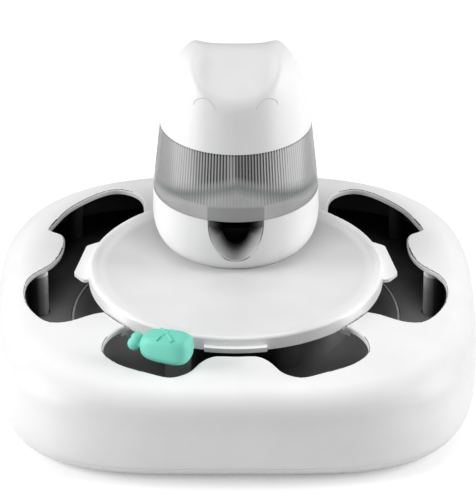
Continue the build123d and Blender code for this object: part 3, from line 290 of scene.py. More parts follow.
def ribbed(name, roughness):
    """Smoked see-through plastic with fine upright stripes for its ribs, deepest before and behind. Its
    greys paint light and shade.

    Heights are metres from the floor, and x and y are metres from the tower's axis."""
    made, tree, shader = new_material(name)
    x, y, z = object_axes(tree, TOWER_Y * MM)
    turns = maths(tree, "MULTIPLY", maths(tree, "ARCTAN2", y, x), float(RIBS))
    wave = spread(tree, maths(tree, "COSINE", turns), -1.0, 1.0)
    stripe = maths(tree, "MULTIPLY", wave, spread(tree, z, 0.1392, 0.1410))
    aside = maths(tree, "ABSOLUTE", x)
    across = spread(tree, x, -0.06, 0.06)
    # The stripes are strong above a low ridge line that falls to both sides, and faint below it; a painted
    # shadow band runs along that line.
    over = maths(tree, "ADD", z, maths(tree, "MULTIPLY", aside, 0.30))
    high = spread(tree, over, 0.1565, 0.1660)
    shadow_low, shadow_high = spread(tree, over, 0.1500, 0.1560), spread(tree, over, 0.1620, 0.1580)
    shadow = maths(tree, "MULTIPLY", shadow_low, shadow_high)
    faint = greys(tree, stripe, [(0.0, 0.50), (1.0, 0.30)])
    colour = blended(tree, faint, (0.45,) * 3, spread(tree, aside, 0.024, 0.016))
    colour = blended(tree, colour, (0.20, 0.23, 0.22), maths(tree, "MULTIPLY", shadow, 0.7))
    # Painted light and shade across the hopper, in the pale and dark stripes.
    strong = blended(tree, greys(tree, across, PALE_STRIPE_SHADING), greys(tree, across, DARK_STRIPE_SHADING), stripe)
    colour = blended(tree, colour, strong, high)
    # The skirt's edge rises to the back. The skirt is painted darker in the middle, as the outlet's shade
    # showing through it.
    front_y, rise = 0.0612, 0.28
    edge = maths(tree, "MULTIPLY", maths(tree, "ADD", y, front_y), rise)
    above_skirt = spread(tree, maths(tree, "ADD", z, edge), 0.1392, 0.1412)
    skirt = blended(tree, (0.48,) * 3, (0.33,) * 3, spread(tree, aside, 0.0218, 0.0208))
    colour = blended(tree, skirt, colour, above_skirt)
    # A painted shade line under the lid, near black in the stripes.
    lid_shade_line = maths(tree, "MULTIPLY", spread(tree, z, 0.1806, 0.1811), maths(tree, "MULTIPLY", stripe, 0.9))
    colour = blended(tree, colour, (0.004,) * 3, lid_shade_line)
    side, middle = 0.66, 0.95
    stops = [(0.0, side), (0.2, side), (0.32, middle), (0.68, middle), (0.8, side), (1.0, side)]
    solid = greys(tree, across, stops)
    feed(tree, shader, {"Base Color": colour, "Alpha": solid, "Specular IOR Level": 0.15})
    vary_roughness(tree, shader, object_noise(tree, 60.0), roughness, 0.2)
    return made


def metal(name, colour, roughness):
    """Drawn or turned metal with fine streaks."""
    made, tree, shader = new_material(name)
    stretch = add_node(tree, "ShaderNodeMapping")
    noise = add_node(tree, "ShaderNodeTexNoise")
    feed(tree, stretch, {"Vector": object_place(tree), "Scale": (400.0, 400.0, 20.0)})
    feed(tree, noise, {"Vector": stretch.outputs["Vector"], "Scale": 1.0})
    vary_colour(tree, shader, noise.outputs["Fac"], colour, 0.85, 1.1)
    vary_roughness(tree, shader, noise.outputs["Fac"], roughness, 0.2, 0.2, 0.8)
    feed(tree, shader, {"Metallic": 1.0})
    return made


def see_through(name, colour, clear, roughness):
    """Clear plastic: a tinted surface that shows most of what is behind it."""
    made, tree, shader = new_material(name)
    vary_colour(tree, shader, object_noise(tree, 30.0), colour, 0.94, 1.06)
    vary_roughness(tree, shader, object_noise(tree, 60.0), roughness, 0.2)
    feed(tree, shader, {"Alpha": clear, "Specular IOR Level": 0.2})
    return made


def fade_up(made, low, low_share, high, high_share):
    """How solid a see-through material is, by height in metres."""
    tree = made.node_tree
    share = spread(tree, object_axes(tree)[2], low, high, low_share, high_share)
    feed(tree, tree.nodes["Principled BSDF"], {"Alpha": share})


WHITE = plastic("white_plastic", (0.80, 0.80, 0.81), 0.42, mottle=0.012, bump=0.03)
# Near black, as painted shade on the cover's inside faces.
INSIDE_SHADE = plastic("inside_painted_shade", (0.055, 0.055, 0.057), 0.7, mottle=0.08)
GREY = plastic("grey_plastic", (0.55, 0.56, 0.57), 0.5)
# Painted shade: the cover lighter on top and darker down its sides, and a painted shadow near the tower.
COVER_WHITE = shaded_plastic("cover_white", COVER_TONES, 0.42, "Z", 0.03)
shade_near(COVER_WHITE, TOWER_Y * MM, 0.092, 0.150, 0.60)
# Painted shade, darker at the front middle of the head and of the bowl.
HEAD_WHITE = shaded_plastic("head_white", HEAD_TONES, 0.42, "X", 0.03)
BOWL_WHITE = shaded_plastic("bowl_white", BOWL_TONES, 0.42, "X", 0.03)
# Dark deck and turntable plastic with painted shade, darker towards the back, and a painted shadow under
# the tray's front tab.
DARK = shaded_plastic("dark_plastic", DECK_TONES, 0.5, tab_shadow_half=0.028)
TABLE = shaded_plastic("table_plastic", DECK_TONES, 0.5, tab_shadow_half=0.028)
# Painted light on the turntable's ridge, lit in front and in shade behind.
RIDGE = shaded_plastic("ridge_plastic", RIDGE_TONES, 0.45)
# Painted highlight on the side posts' inner edge and painted shade outside it; the back posts are painted
# black as shade.
POST = shaded_plastic("post_plastic", POST_TONES, 0.4, "X")
BACK_POST_SHADE = plastic("back_post_painted_shade", (0.02, 0.02, 0.02), 0.5, mottle=0.08)
# Painted light and shade from front to back, a painted shadow near the tower and a painted highlight on the
# rim.
TRAY_WHITE = shaded_plastic("tray_white", TRAY_TONES, 0.42, bump=0.03)
shade_near(TRAY_WHITE, 0.085, 0.050, 0.098, 0.58)
rim_highlight(TRAY_WHITE, 0.096, 0.109, 0.97)
BLACK = plastic("black_plastic", (0.008, 0.008, 0.008), 0.5, mottle=0.1)
RUBBER = plastic("foot_rubber", (0.16, 0.16, 0.17), 0.8, mottle=0.06, grain=2200.0, bump=0.15)
TEAL = plastic("teal_silicone", (0.185, 0.700, 0.560), 0.5, grain=1500.0, bump=0.05)
NYLON = plastic("natural_nylon", (0.70, 0.69, 0.62), 0.45)
SEAL = plastic("seal_silicone", (0.60, 0.60, 0.61), 0.55)
SOFT_GREEN = plastic("impeller_silicone", (0.58, 0.68, 0.64), 0.55)
PALE = plastic("pale_plastic", (0.84, 0.85, 0.85), 0.5)
BOARD = plastic("solder_mask", (0.02, 0.14, 0.06), 0.35, mottle=0.15)
WRAP = plastic("cell_wrap", (0.03, 0.12, 0.35), 0.3)
STEEL = metal("drawn_steel", (0.55, 0.55, 0.57), 0.3)
BRASS = metal("turned_brass", (0.62, 0.45, 0.17), 0.28)
CLEAR = see_through("clear_plastic", (0.55, 0.57, 0.58), 0.04, 0.2)
SLIDE = see_through("slide_plastic", (0.62, 0.64, 0.65), 0.1, 0.2)
fade_up(SLIDE, 0.071, 0.11, 0.077, 0.02)
# The smoked plastic's stripes carry painted light and shade.
SMOKE = ribbed("smoke_plastic", 0.22)
# Painted shade in the outlet's mouth: pale at the edge, black deep inside, and dark across the top.
CHUTE_SHADE = shaded_plastic("chute_painted_shade", CHUTE_SHADE_TONES, 0.5)
MOUTH_TOP_SHADE = shaded_plastic("mouth_top_painted_shade", MOUTH_TOP_SHADE_TONES, 0.9, "X")
MOUTH_TOP_SHADE.node_tree.nodes["Principled BSDF"].inputs["Specular IOR Level"].default_value = 0.0
# Grey, as painted shade of an engraved eye line.
EYE_LINE_SHADE = plastic("eye_line_painted_shade", (0.62, 0.62, 0.63), 0.5)

# Each CAD node's material.
NODE_MATERIALS = [
    (WHITE, "base_pan centre_column battery_door"),
    (COVER_WHITE, "top_cover"),
    (HEAD_WHITE, "head_lid"),
    (BOWL_WHITE, "tower_bowl"),
    (TRAY_WHITE, "feeding_tray"),
    (DARK, "play_deck"),
    (TABLE, "turntable"),
    (BLACK, "battery_holder contact_block outlet_chute laser_servo laser_cradle laser_module"),
    (GREY, "rear_panel power_button"),
    (PALE, "hopper_floor"),
    (SMOKE, "hopper_bin"),
    (SLIDE, "lure_bracket"),
    (CLEAR, "laser_lens"),
    (TEAL, "lure"),
    (SOFT_GREEN, "impeller"),
    (SEAL, "lid_seal"),
    (RUBBER, "rubber_feet"),
    (NYLON, "thrust_washer turntable_bush ring_gear"),
    (BOARD, "main_board button_board control_board"),
    (WRAP, "battery_cells"),
    (STEEL, "base_screws drive_motor charge_port lift_springs motor_shaft feed_motor feed_shaft"),
    (BRASS, "contact_pins drive_pinion"),
]


def dress_nodes():
    for material, names in NODE_MATERIALS:
        for name in names.split():
            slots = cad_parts[name].data.materials
            slots.clear()
            slots.append(material)
    # The turntable's rim ridge takes the ridge material's painted light.
    ridge_radius, ridge_z = 121.0, 40.5
    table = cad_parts["turntable"].data
    table.materials.append(RIDGE)
    for face in table.polygons:
        spot = face.center / MM
        face.material_index = int(math.hypot(spot.x, spot.y) > ridge_radius and spot.z > ridge_z)


# --- mesh helpers
def link_mesh(name, data, material, smooth=True):
    """Puts a mesh in the scene as an object."""
    made = bpy.data.objects.new(name, data)
    scene.collection.objects.link(made)
    data.materials.append(material)
    data.polygons.foreach_set("use_smooth", [smooth] * len(data.polygons))
    return made


def make_object(name, points, faces, material, body, smooth=True):
    """A piece from points in millimetres."""
    data = bpy.data.meshes.new(name)
    data.from_pydata([Vector(point) * MM for point in points], [], faces)
    data.validate()
    made = link_mesh(name, data, material, smooth)
    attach(made, body)
    return made


def edit_mesh(made, change):
    """Opens an object's mesh, makes a change to it and writes it back."""
    shape = bmesh.new()
    shape.from_mesh(made.data)
    change(shape)
    shape.to_mesh(made.data)
    shape.free()
    made.data.update()


def outward(made):
    """Makes the faces look outwards."""
    edit_mesh(made, lambda shape: bmesh.ops.recalc_face_normals(shape, faces=shape.faces))


def sharpen(made, degrees=40.0):
    """Marks the edges that turn by more than an angle as sharp."""

    def change(shape):
        for edge in shape.edges:
            if len(edge.link_faces) == 2 and edge.calc_face_angle(0.0) > math.radians(degrees):
                edge.smooth = False

    edit_mesh(made, change)


def round_angles(count):
    return np.linspace(0, 2 * np.pi, count, endpoint=False)


def level_ring(reach, angles, height, centre_y=0.0):
    """Level ring of points; the reach is one radius, or one for each angle."""
    x, y = reach * np.cos(angles), centre_y + reach * np.sin(angles)
    return np.stack([x, y, np.full(len(angles), height)], axis=1)


def joined(rows):
    return [point for row in rows for point in row]


def ring_mesh(rows, closed_rows=False, start=0):
    """Faces that join each row of points to the next, round and round."""
    faces = []
    count = len(rows[0])
    pairs = len(rows) if closed_rows else len(rows) - 1
    for row in range(pairs):
        low = start + row * count
        high = start + ((row + 1) % len(rows)) * count
        for step in range(count):
            after = (step + 1) % count
            faces.append((low + step, low + after, high + after, high + step))
    return faces


def end_caps(rows, start=0):
    """Faces that close the first and the last row of a tube."""
    count = len(rows[0])
    last = start + (len(rows) - 1) * count
    return [tuple(range(start + count - 1, start - 1, -1)), tuple(range(last, last + count))]


def smooth_curve(points, first, last, spacing=1.6):
    """Cubic spline through points with given end directions, sampled about evenly."""
    knots = np.array(points, float)
    steps = np.hypot(*np.diff(knots, axis=0).T)
    at = np.concatenate([[0.0], np.cumsum(steps)])
    count = len(at)
    system = np.zeros((count, count))
    right = np.zeros((count, 2))
    system[0, 0] = system[-1, -1] = 1.0
    right[0] = np.array(first) / np.hypot(*first)
    right[-1] = np.array(last) / np.hypot(*last)
    for i in range(1, count - 1):
        before, after = steps[i - 1], steps[i]
        system[i, i - 1 : i + 2] = (after, 2 * (before + after), before)
        rise = after / before * (knots[i] - knots[i - 1]) + before / after * (knots[i + 1] - knots[i])
        right[i] = 3 * rise
    slopes = np.linalg.solve(system, right)
    out = []
    for value in np.linspace(0.0, at[-1], int(at[-1] / spacing) + 2):
        i = min(int(np.searchsorted(at, value, "right")) - 1, count - 2)
        t = (value - at[i]) / steps[i]
        a, b = knots[i], knots[i + 1]
        u, v = slopes[i] * steps[i], slopes[i + 1] * steps[i]
        point = (2 * t**3 - 3 * t**2 + 1) * a + (t**3 - 2 * t**2 + t) * u
        out.append(point + (3 * t**2 - 2 * t**3) * b + (t**3 - t**2) * v)
    return np.array(out)


# --- the cover's shape
def plan_power(height):
    return FLOOR_POWER + (TOP_POWER - FLOOR_POWER) * height / TOP_Z


def plan_reach(angle, half, power):
    across = np.abs(np.cos(angle)) ** power
    along = np.abs(np.sin(angle)) ** power
    return half / (across + along) ** (1 / power)


def cover_half(height, inset):
    """Half width of the cover at a height."""
    if height >= SIDE_TOP_Z:
        rise = (height - SIDE_TOP_Z) / (TOP_Z - SIDE_TOP_Z - inset)
        return TOP_HALF + (BASE_HALF - TOP_HALF - inset) * math.sqrt(max(0.0, 1 - rise * rise))
    if height >= SIDE_LOW_Z:
        return BASE_HALF - inset
    drop = (SIDE_LOW_Z - height) / SIDE_LOW_Z
    return FLOOR_HALF + (BASE_HALF - FLOOR_HALF) * math.sqrt(1 - drop * drop) - inset


def cover_height(points, inset):
    """Height of the cover's outer face, or of a face inset from it, over points of the plan."""
    x, y = np.abs(points[:, 0]), np.abs(points[:, 1])
    height = np.full(len(points), TOP_Z - inset)
    for _ in range(6):
        power = plan_power(height)
        half = (x**power + y**power) ** (1 / power)
        lean = np.clip((half - TOP_HALF) / (BASE_HALF - TOP_HALF - inset), 0.0, 0.999)
        height = SIDE_TOP_Z + (TOP_Z - SIDE_TOP_Z - inset) * np.sqrt(1 - lean * lean)
    return height


def opening_loops():
    """The three openings' closed outlines, from the middle of the front round to the right."""
    front = smooth_curve(FRONT_OPENING, (-1, 0), (1, 0.25))
    inner = [(-67.9, -67.9), (0.0, -HUB_RADIUS * 0.98)]
    left = np.vstack([front, inner[:1]])
    right = left[::-1] * (-1, 1)
    front_loop = np.vstack([left[1:], inner[1:], right[:-1], front[:1]])
    forward = smooth_curve(SIDE_OPENING_FRONT, (-1, 0), (-0.4, 1))
    backward = smooth_curve(SIDE_OPENING_BACK, (0.5, 1), (0, -1))
    side_loop = np.vstack([forward, backward, [(-HUB_RADIUS / 2, 0.0)]])
    return [loop * OPENING_SCALE + OPENING_SHIFT for loop in (front_loop, side_loop, side_loop * (-1, 1))]


def inside(points, loop):
    """Which points lie inside a closed loop."""
    x, y = points[:, 0], points[:, 1]
    found = np.zeros(len(points), bool)
    for a, b in zip(loop, np.roll(loop, -1, axis=0)):
        crosses = (a[1] > y) != (b[1] > y)
        with np.errstate(divide="ignore", invalid="ignore"):
            at = (b[0] - a[0]) * (y - a[1]) / (b[1] - a[1]) + a[0]
        found ^= crosses & (x < at)
    return found


def path_distance(points, starts, ends):
    """Distance from each point to a path of straight pieces."""
    best = np.full(len(points), 1e9)
    for a, b in zip(starts, ends):
        along = b - a
        size = max(float(along @ along), 1e-12)
        t = np.clip(((points - a) @ along) / size, 0.0, 1.0)
        best = np.minimum(best, np.hypot(*(points - a - t[:, None] * along).T))
    return best


def distance_to(points, loop):
    """Distance from each point to a closed loop."""
    return path_distance(points, loop, np.roll(loop, -1, axis=0))


def circle_loop(radius):
    return level_ring(radius, round_angles(240), 0.0)[:, :2]


def plan_sheet(outer_loop, holes, rings):
    """Triangles of the plan inside a loop and outside the holes, with extra rings of points."""
    points, edges = [], []
    for loop in [outer_loop, *holes]:
        base = len(points)
        points.extend(map(tuple, loop))
        edges.extend((base + i, base + (i + 1) % len(loop)) for i in range(len(loop)))
    for ring in rings:
        points.extend(map(tuple, ring))
    made = delaunay_2d_cdt([Vector(p) for p in points], edges, [], 0, 1e-4)
    flat = np.array([tuple(v) for v in made[0]])
    faces = np.array([face for face in made[2] if len(face) == 3])
    middles = flat[faces].mean(axis=1)
    keep = inside(middles, outer_loop)
    for hole in holes:
        keep &= ~inside(middles, hole)
    return flat, faces[keep]


def two_sheets(flat, faces, top, bottom):
    """Closed solid between two heights over the same plan."""
    used = np.unique(faces)
    renumber = np.full(len(flat), -1)
    renumber[used] = np.arange(len(used))
    faces = renumber[faces]
    flat, top, bottom = flat[used], top[used], bottom[used]
    count = len(flat)
    points = [(x, y, z) for (x, y), z in zip(flat, top)] + [(x, y, z) for (x, y), z in zip(flat, bottom)]
    all_faces = [tuple(face) for face in faces] + [tuple(count + i for i in face[::-1]) for face in faces]
    edges = {}
    for face in faces:
        for a, b in zip(face, np.roll(face, -1)):
            edges[(int(a), int(b))] = True
    rim = [(a, b) for a, b in edges if (b, a) not in edges]
    return points, all_faces, rim, count


def crown_z(half):
    """Height of the cover's outer face at a half width."""
    lean = max(0.0, (half - TOP_HALF) / (BASE_HALF - TOP_HALF))
    return SIDE_TOP_Z + (TOP_Z - SIDE_TOP_Z) * math.sqrt(1 - lean * lean)


def plan_ring(half, angles):
    """Outline of the cover's crown at a half width."""
    return level_ring(plan_reach(angles, half, plan_power(crown_z(half))), angles, 0.0)[:, :2]


def lip_rings(loops):
    """Extra points beside the openings' edges, for the rounding of their lips."""
    rings = []
    for loop in loops:
        tangent = np.roll(loop, -1, axis=0) - np.roll(loop, 1, axis=0)
        normal = np.stack([tangent[:, 1], -tangent[:, 0]], axis=1)
        normal /= np.maximum(np.hypot(*normal.T), 1e-9)[:, None]
        for step in [LIP_ROUND * share for share in (0.1, 0.3, 0.6, 1.0, 1.8)]:
            for side in (1, -1):
                moved = loop + normal * step * side
                far = distance_to(moved, loop) > step * 0.93
                rings.append(moved[far & ~inside(moved, loop)])
    return rings


def side_rows(angles, cap_half, inset):
    """Level rings down the cover's side, from under the crown's edge to the parting."""
    cap_turn = math.acos((cap_half - TOP_HALF) / (BASE_HALF - TOP_HALF - inset))
    turns = [cap_turn * (1 - step / 10) for step in range(1, 11)]
    heights = [SIDE_TOP_Z + (TOP_Z - SIDE_TOP_Z - inset) * math.sin(turn) for turn in turns]
    heights += [47.0, 38.0, 29.0, 24.7, 21.1, 17.5, PARTING_Z]
    reaches = [plan_reach(angles, cover_half(height, inset), plan_power(height)) for height in heights]
    return [level_ring(reach, angles, height) for reach, height in zip(reaches, heights)]


def make_cover():
    """The white shell with its paw openings, their rounded lips and the seat under the tray."""
    openings = opening_loops()
    loops = [*openings, circle_loop(SEAT_RADIUS)]
    cap_half = 164.0
    angles = round_angles(360)
    outer_ring = plan_ring(cap_half, angles)
    rings = [plan_ring(half, angles) for half in (161.0, 158.0, 155.0, 152.0, 149.0, 144.0, 136.0)]
    flat, faces = plan_sheet(outer_ring, loops, rings + lip_rings(loops))
    near = np.min([distance_to(flat, loop) for loop in loops], axis=0)
    drop = LIP_ROUND - np.sqrt(np.maximum(0.0, LIP_ROUND**2 - np.maximum(0.0, LIP_ROUND - near) ** 2))
    top = cover_height(flat, 0.0) - np.minimum(drop, LIP_ROUND)
    bottom = cover_height(flat, COVER_WALL)
    points, all_faces, rim, count = two_sheets(flat, faces, top, bottom)
    on_outer = distance_to(np.array([p[:2] for p in points[:count]]), outer_ring) < 1e-3
    all_faces += [(b, a, count + a, count + b) for a, b in rim if not (on_outer[a] and on_outer[b])]

    # The rear window leaves out these rows' and steps' faces, and gets a reveal round it.
    window_rows, window_steps = (11, 12), range(83, 97)
    starts = []
    for inset in (0.0, COVER_WALL):
        edge = np.column_stack([outer_ring, cover_height(outer_ring, inset)])
        rows = [edge, *side_rows(angles, cap_half, inset)]
        starts.append(len(points))
        points += joined(rows)
        for index, face in enumerate(ring_mesh(rows, start=starts[-1])):
            row, step = divmod(index, len(angles))
            if not (row in window_rows and step in window_steps):
                all_faces.append(face if inset else face[::-1])
    outer, inner = starts
    count = len(angles)
    last = (len(rows) - 1) * count
    edges = [(last + step, last + (step + 1) % count) for step in range(count)]
    for row in (window_rows[0], window_rows[-1] + 1):
        edges += [(row * count + step, row * count + step + 1) for step in window_steps]
    for row in window_rows:
        for step in (window_steps.start, window_steps.stop):
            edges.append((row * count + step, (row + 1) * count + step))
    all_faces += [(outer + a, outer + b, inner + b, inner + a) for a, b in edges]

    made = make_object("cover_shell", points, all_faces, COVER_WHITE, "base")
    edit_mesh(made, lambda shape: bmesh.ops.remove_doubles(shape, verts=shape.verts, dist=1e-6))
    outward(made)
    sharpen(made, 50.0)
    # The cover's inside faces take a near black material, as painted shade.
    made.data.materials.append(INSIDE_SHADE)
    centres = np.array([tuple(face.center) for face in made.data.polygons]) / MM
    normals = np.array([tuple(face.normal) for face in made.data.polygons])
    away = np.min([distance_to(centres[:, :2], loop) for loop in loops], axis=0) > 0.5
    inwards = (normals[:, :2] * centres[:, :2]).sum(axis=1) / np.hypot(*centres[:, :2].T) < -0.2
    shaded_inside = away & (inwards | ((normals[:, 2] < -0.2) & (centres[:, 2] > 60.0)))
    made.data.polygons.foreach_set("material_index", shaded_inside.astype(int))
    weighted = made.modifiers.new("even_normals", "WEIGHTED_NORMAL")
    weighted.keep_sharp = True
    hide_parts("top_cover")
    make_seat(openings)
    make_posts()


def make_seat(openings):
    """Flat plate under the tray, cut by the openings."""
    rings = [circle_loop(radius) for radius in (SEAT_RADIUS, 104.0, 97.0, 80.0, 50.0)]
    flat, faces = plan_sheet(circle_loop(HUB_RIM), openings, rings)
    top, bottom = (np.full(len(flat), height) for height in (SEAT_Z, HUB_LOW_Z))
    points, all_faces, rim, count = two_sheets(flat, faces, top, bottom)
    all_faces += [(b, a, count + a, count + b) for a, b in rim]
    plate = make_object("cover_seat", points, all_faces, COVER_WHITE, "base", smooth=False)
    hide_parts("top_cover")


def make_posts():
    """Round posts that hold the cover up inside."""
    posts = [(side * x, y, radius) for x, y, radius in POSTS for side in (-1, 1)]
    for number, (x, y, radius) in enumerate(posts):
        high = float(cover_height(np.array([(x, y)]), COVER_WALL - 0.5)[0])
        shape = bmesh.new()
        size = {"radius1": radius * MM, "radius2": radius * MM, "depth": (high - POST_LOW_Z) * MM}
        bmesh.ops.create_cone(shape, cap_ends=True, segments=48, **size)
        bmesh.ops.translate(shape, verts=shape.verts, vec=Vector((x, y, (high + POST_LOW_Z) / 2)) * MM)
        data = bpy.data.meshes.new(f"cover_post_{number}")
        shape.to_mesh(data)
        shape.free()
        # The side posts take a painted highlight and shade, the back posts a painted black shade.
        post = link_mesh(f"cover_post_{number}", data, POST if number < 2 else BACK_POST_SHADE)
        sharpen(post)
        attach(post, "base")
        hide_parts("top_cover")


# --- hopper with its ribs
def make_hopper():
    """Smoked bin with fine upright ribs and a smooth skirt."""
    angles = round_angles(RIBS * 10)
    wave = 0.5 - 0.5 * np.cos(angles * RIBS)
    low_z, skirt_z, fade_span = BOWL_TOP_Z + 0.2, 140.5, 1.2

    def wall_radius(height):
        share = (height - low_z) / (HOPPER_TOP_Z - low_z)
        return SEAM_RADIUS + (HOPPER_TOP_RADIUS - SEAM_RADIUS) * share

    rows = []
    for height in (
        low_z, low_z + 0.4, low_z + 5, skirt_z - fade_span, skirt_z, skirt_z + fade_span, 150, 160, 170,
        179.6, 180.3, HOPPER_TOP_Z,
    ):
        above_skirt = min(1.0, max(0.0, (height - skirt_z) / fade_span))
        below_top = min(1.0, max(0.0, HOPPER_TOP_Z - height))
        trim = 0.25 if height in (low_z, HOPPER_TOP_Z) else 0.0
        reach = wall_radius(height) - trim - RIB_DEPTH * above_skirt * below_top * wave
        rows.append(level_ring(reach, angles, height, TOWER_Y))
    for height in (HOPPER_TOP_Z, low_z):
        rows.append(level_ring(wall_radius(height) - HOPPER_WALL, angles, height, TOWER_Y))
    faces = ring_mesh(rows, closed_rows=True)
    made = make_object("hopper_shell", joined(rows), faces, SMOKE, "hopper")
    outward(made)
    sharpen(made, 60.0)
    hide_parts("hopper_bin")


# --- outlet of the tower
OUTLET_HALF, OUTLET_LOW_Z = 20.8, 94.0
# Heights and radii of the bowl.
BOWL_PROFILE = [(83.8, 52.7), (92.5, 59.5), (100.0, 62.2), (108.0, 62.9), (118.0, 62.8), (128.4, 62.5)]


def make_outlet():
    """Flared mouth of the food outlet, pale at its edge and painted dark inside as shade, with the cup
    behind it painted dark as shade.
    """
    tall = BOWL_TOP_Z - OUTLET_LOW_Z
    knots = [
        (OUTLET_HALF, BOWL_TOP_Z), (OUTLET_HALF * 0.88, OUTLET_LOW_Z + tall * 0.51),
        (OUTLET_HALF * 0.52, OUTLET_LOW_Z + tall * 0.14), (0.0, OUTLET_LOW_Z),
    ]
    half = smooth_curve(knots, (0.0, -1), (-1, 0), 0.8)
    edge = np.vstack([half, half[-2::-1] * (-1, 1)])
    inward = np.array([0.0, 116.0]) - edge
    inward /= np.hypot(*inward.T)[:, None]
    flare = 0.45 + 0.55 * np.clip((124.0 - edge[:, 1]) / 12.0, 0.0, 1.0)
    heights, radii = np.array(BOWL_PROFILE).T
    across_count = 24

    def ring(inset, depth, top_z, flat_y=None):
        """The mouth's outline, drawn in and set back from the bowl's surface or at one place."""
        moved = edge + inward * np.maximum(0.4, inset * flare)[:, None]
        moved[:, 1] = np.minimum(moved[:, 1], top_z)
        across = np.linspace(-moved[0, 0], moved[0, 0], across_count + 2)[1:-1]
        moved = np.vstack([moved, np.stack([across, np.full(across_count, top_z)], axis=1)])
        reach = np.interp(moved[:, 1], heights, radii) - 0.3
        surface = TOWER_Y - np.sqrt(reach**2 - moved[:, 0] ** 2) + depth
        if flat_y is not None:
            surface = np.full(len(moved), flat_y)
        return [(x, y, z) for (x, z), y in zip(moved, surface)]

    lip = [ring(0.4, 0.0, 128.2), ring(0.9, 1.6, 128.2), ring(1.2, 2.3, 127.6), ring(1.4, 2.6, 122.3)]
    funnel = ((4.0, 2.8), (6.0, 4.4), (8.0, 5.8), (10.0, 7.0), (12.0, 8.0))
    throat = [ring(inset, depth, 122.3) for depth, inset in funnel]
    cup = [ring(8.4, 0.0, 122.2, 1.2), ring(1.6, 0.0, 122.3, 1.6), ring(1.6, 0.0, 122.3, 15.8)]
    rows = lip + throat + cup
    faces = ring_mesh(rows) + end_caps(rows)[1:]
    made = make_object("outlet_mouth", joined(rows), faces, CHUTE_SHADE, "tower")
    # The mouth's top takes a painted shade across it.
    made.data.materials.append(MOUTH_TOP_SHADE)
    mouth_top_low_z = 121.8
    for face in made.data.polygons:
        face.material_index = int(face.center.z > mouth_top_low_z * MM)
    outward(made)
    sharpen(made, 50.0)
    wall = made.modifiers.new("wall", "SOLIDIFY")
    wall.thickness = 0.00025
    wall.offset = 0.0
    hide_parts("outlet_chute")


# --- cat's head lid
HEAD_PROFILE = [
    (59.8, 168.0), (57.0, 182.2), (53.6, 199.0), (50.0, 216.0), (44.2, 232.0), (36.6, 240.5),
    (25.0, 245.4), (0.0, 247.3),
]
HEAD_MIDDLE = np.array([0.0, TOWER_Y, 200.0])
SCOOP_HALF, SCOOP_RISE = 31.0, 5.0
DIP_Z, DIP_RADIUS, SCOOP_TILT = 247.0, 150.0, 29.0
RIDGE_SOFT = 5.0
EYE_LINE = [
    (31.2, 214.8), (30.5, 217.6), (28.6, 219.6), (25.6, 221.2), (22.7, 221.7), (19.7, 220.8),
    (17.5, 218.8), (14.9, 215.3),
]


def soft_max(a, b, soft):
    mix = np.clip(0.5 + 0.5 * (a - b) / soft, 0.0, 1.0)
    return b + (a - b) * mix + soft * mix * (1 - mix)


def head_depth(points, profile_grid, inset):
    """Below nought inside the head, above nought outside it."""
    grid, step, low_z = profile_grid
    rho = np.hypot(points[:, 0], points[:, 1] - TOWER_Y)
    row = np.clip((points[:, 2] - low_z) / step, 0, grid.shape[0] - 1.001)
    column = np.clip(rho / step, 0, grid.shape[1] - 1.001)
    i, j = row.astype(int), column.astype(int)
    u, v = row - i, column - j
    near = grid[i, j] * (1 - u) + grid[i + 1, j] * u
    far = grid[i, j + 1] * (1 - u) + grid[i + 1, j + 1] * u
    value = near * (1 - v) + far * v
    dip = DIP_RADIUS - np.hypot(points[:, 0], points[:, 2] - DIP_Z - DIP_RADIUS)
    value = soft_max(value, dip, RIDGE_SOFT)
    slope = math.radians(SCOOP_TILT)
    for side in (-1, 1):
        above = np.array([0.0, side * math.sin(slope), math.cos(slope)])
        lift = (points - np.array([0.0, TOWER_Y, DIP_Z])) @ above
        share = np.abs(points[:, 0]) / SCOOP_HALF
        floor = SCOOP_RISE * share**4
        steep = 4 * SCOOP_RISE * share**3 / SCOOP_HALF
        scoop = (lift - floor) / np.sqrt(1 + steep**2)
        value = soft_max(value, scoop, RIDGE_SOFT)
    return value + inset


def profile_distance_grid(profile):
    """Signed distance to the head's outline, on a grid of heights and radii."""
    step, low_z, high_z, wide, foot_z = 0.5, 166.0, 262.0, 72.0, 160.0
    z, rho = np.meshgrid(np.arange(low_z, high_z, step), np.arange(0.0, wide, step), indexing="ij")
    points = np.stack([rho.ravel(), z.ravel()], axis=1)
    best = path_distance(points, profile[:-1], profile[1:])
    loop = np.vstack([profile, [(0.0, foot_z), (profile[0][0], foot_z)]])
    sign = np.where(inside(points, loop), -1.0, 1.0)
    return (best * sign).reshape(z.shape), step, low_z


def crossing(near, far, outside, steps):
    """Halves the way between a place inside and one outside, again and again."""
    for _ in range(steps):
        half = (near + far) / 2
        out = outside(half)
        near, far = np.where(out, near, half), np.where(out, half, far)
    return near


def head_rays(columns, rows, grid, inset):
    """Points where rays from inside the head meet its surface."""
    low = math.atan2(HOPPER_TOP_Z + 0.2 - HEAD_MIDDLE[2], HOPPER_TOP_RADIUS - inset)
    tilts = np.linspace(low, math.radians(89.4), rows)
    tilt, turn = np.meshgrid(tilts, round_angles(columns), indexing="ij")
    rays = np.stack([np.cos(tilt) * np.cos(turn), np.cos(tilt) * np.sin(turn), np.sin(tilt)], axis=-1)
    rays = rays.reshape(-1, 3)

    def outside(reach):
        return head_depth(HEAD_MIDDLE + rays * reach[:, None], grid, inset) > 0

    reach = crossing(np.full(len(rays), 10.0), np.full(len(rays), 75.0), outside, 22)
    return (HEAD_MIDDLE + rays * reach[:, None]).reshape(rows, columns, 3)


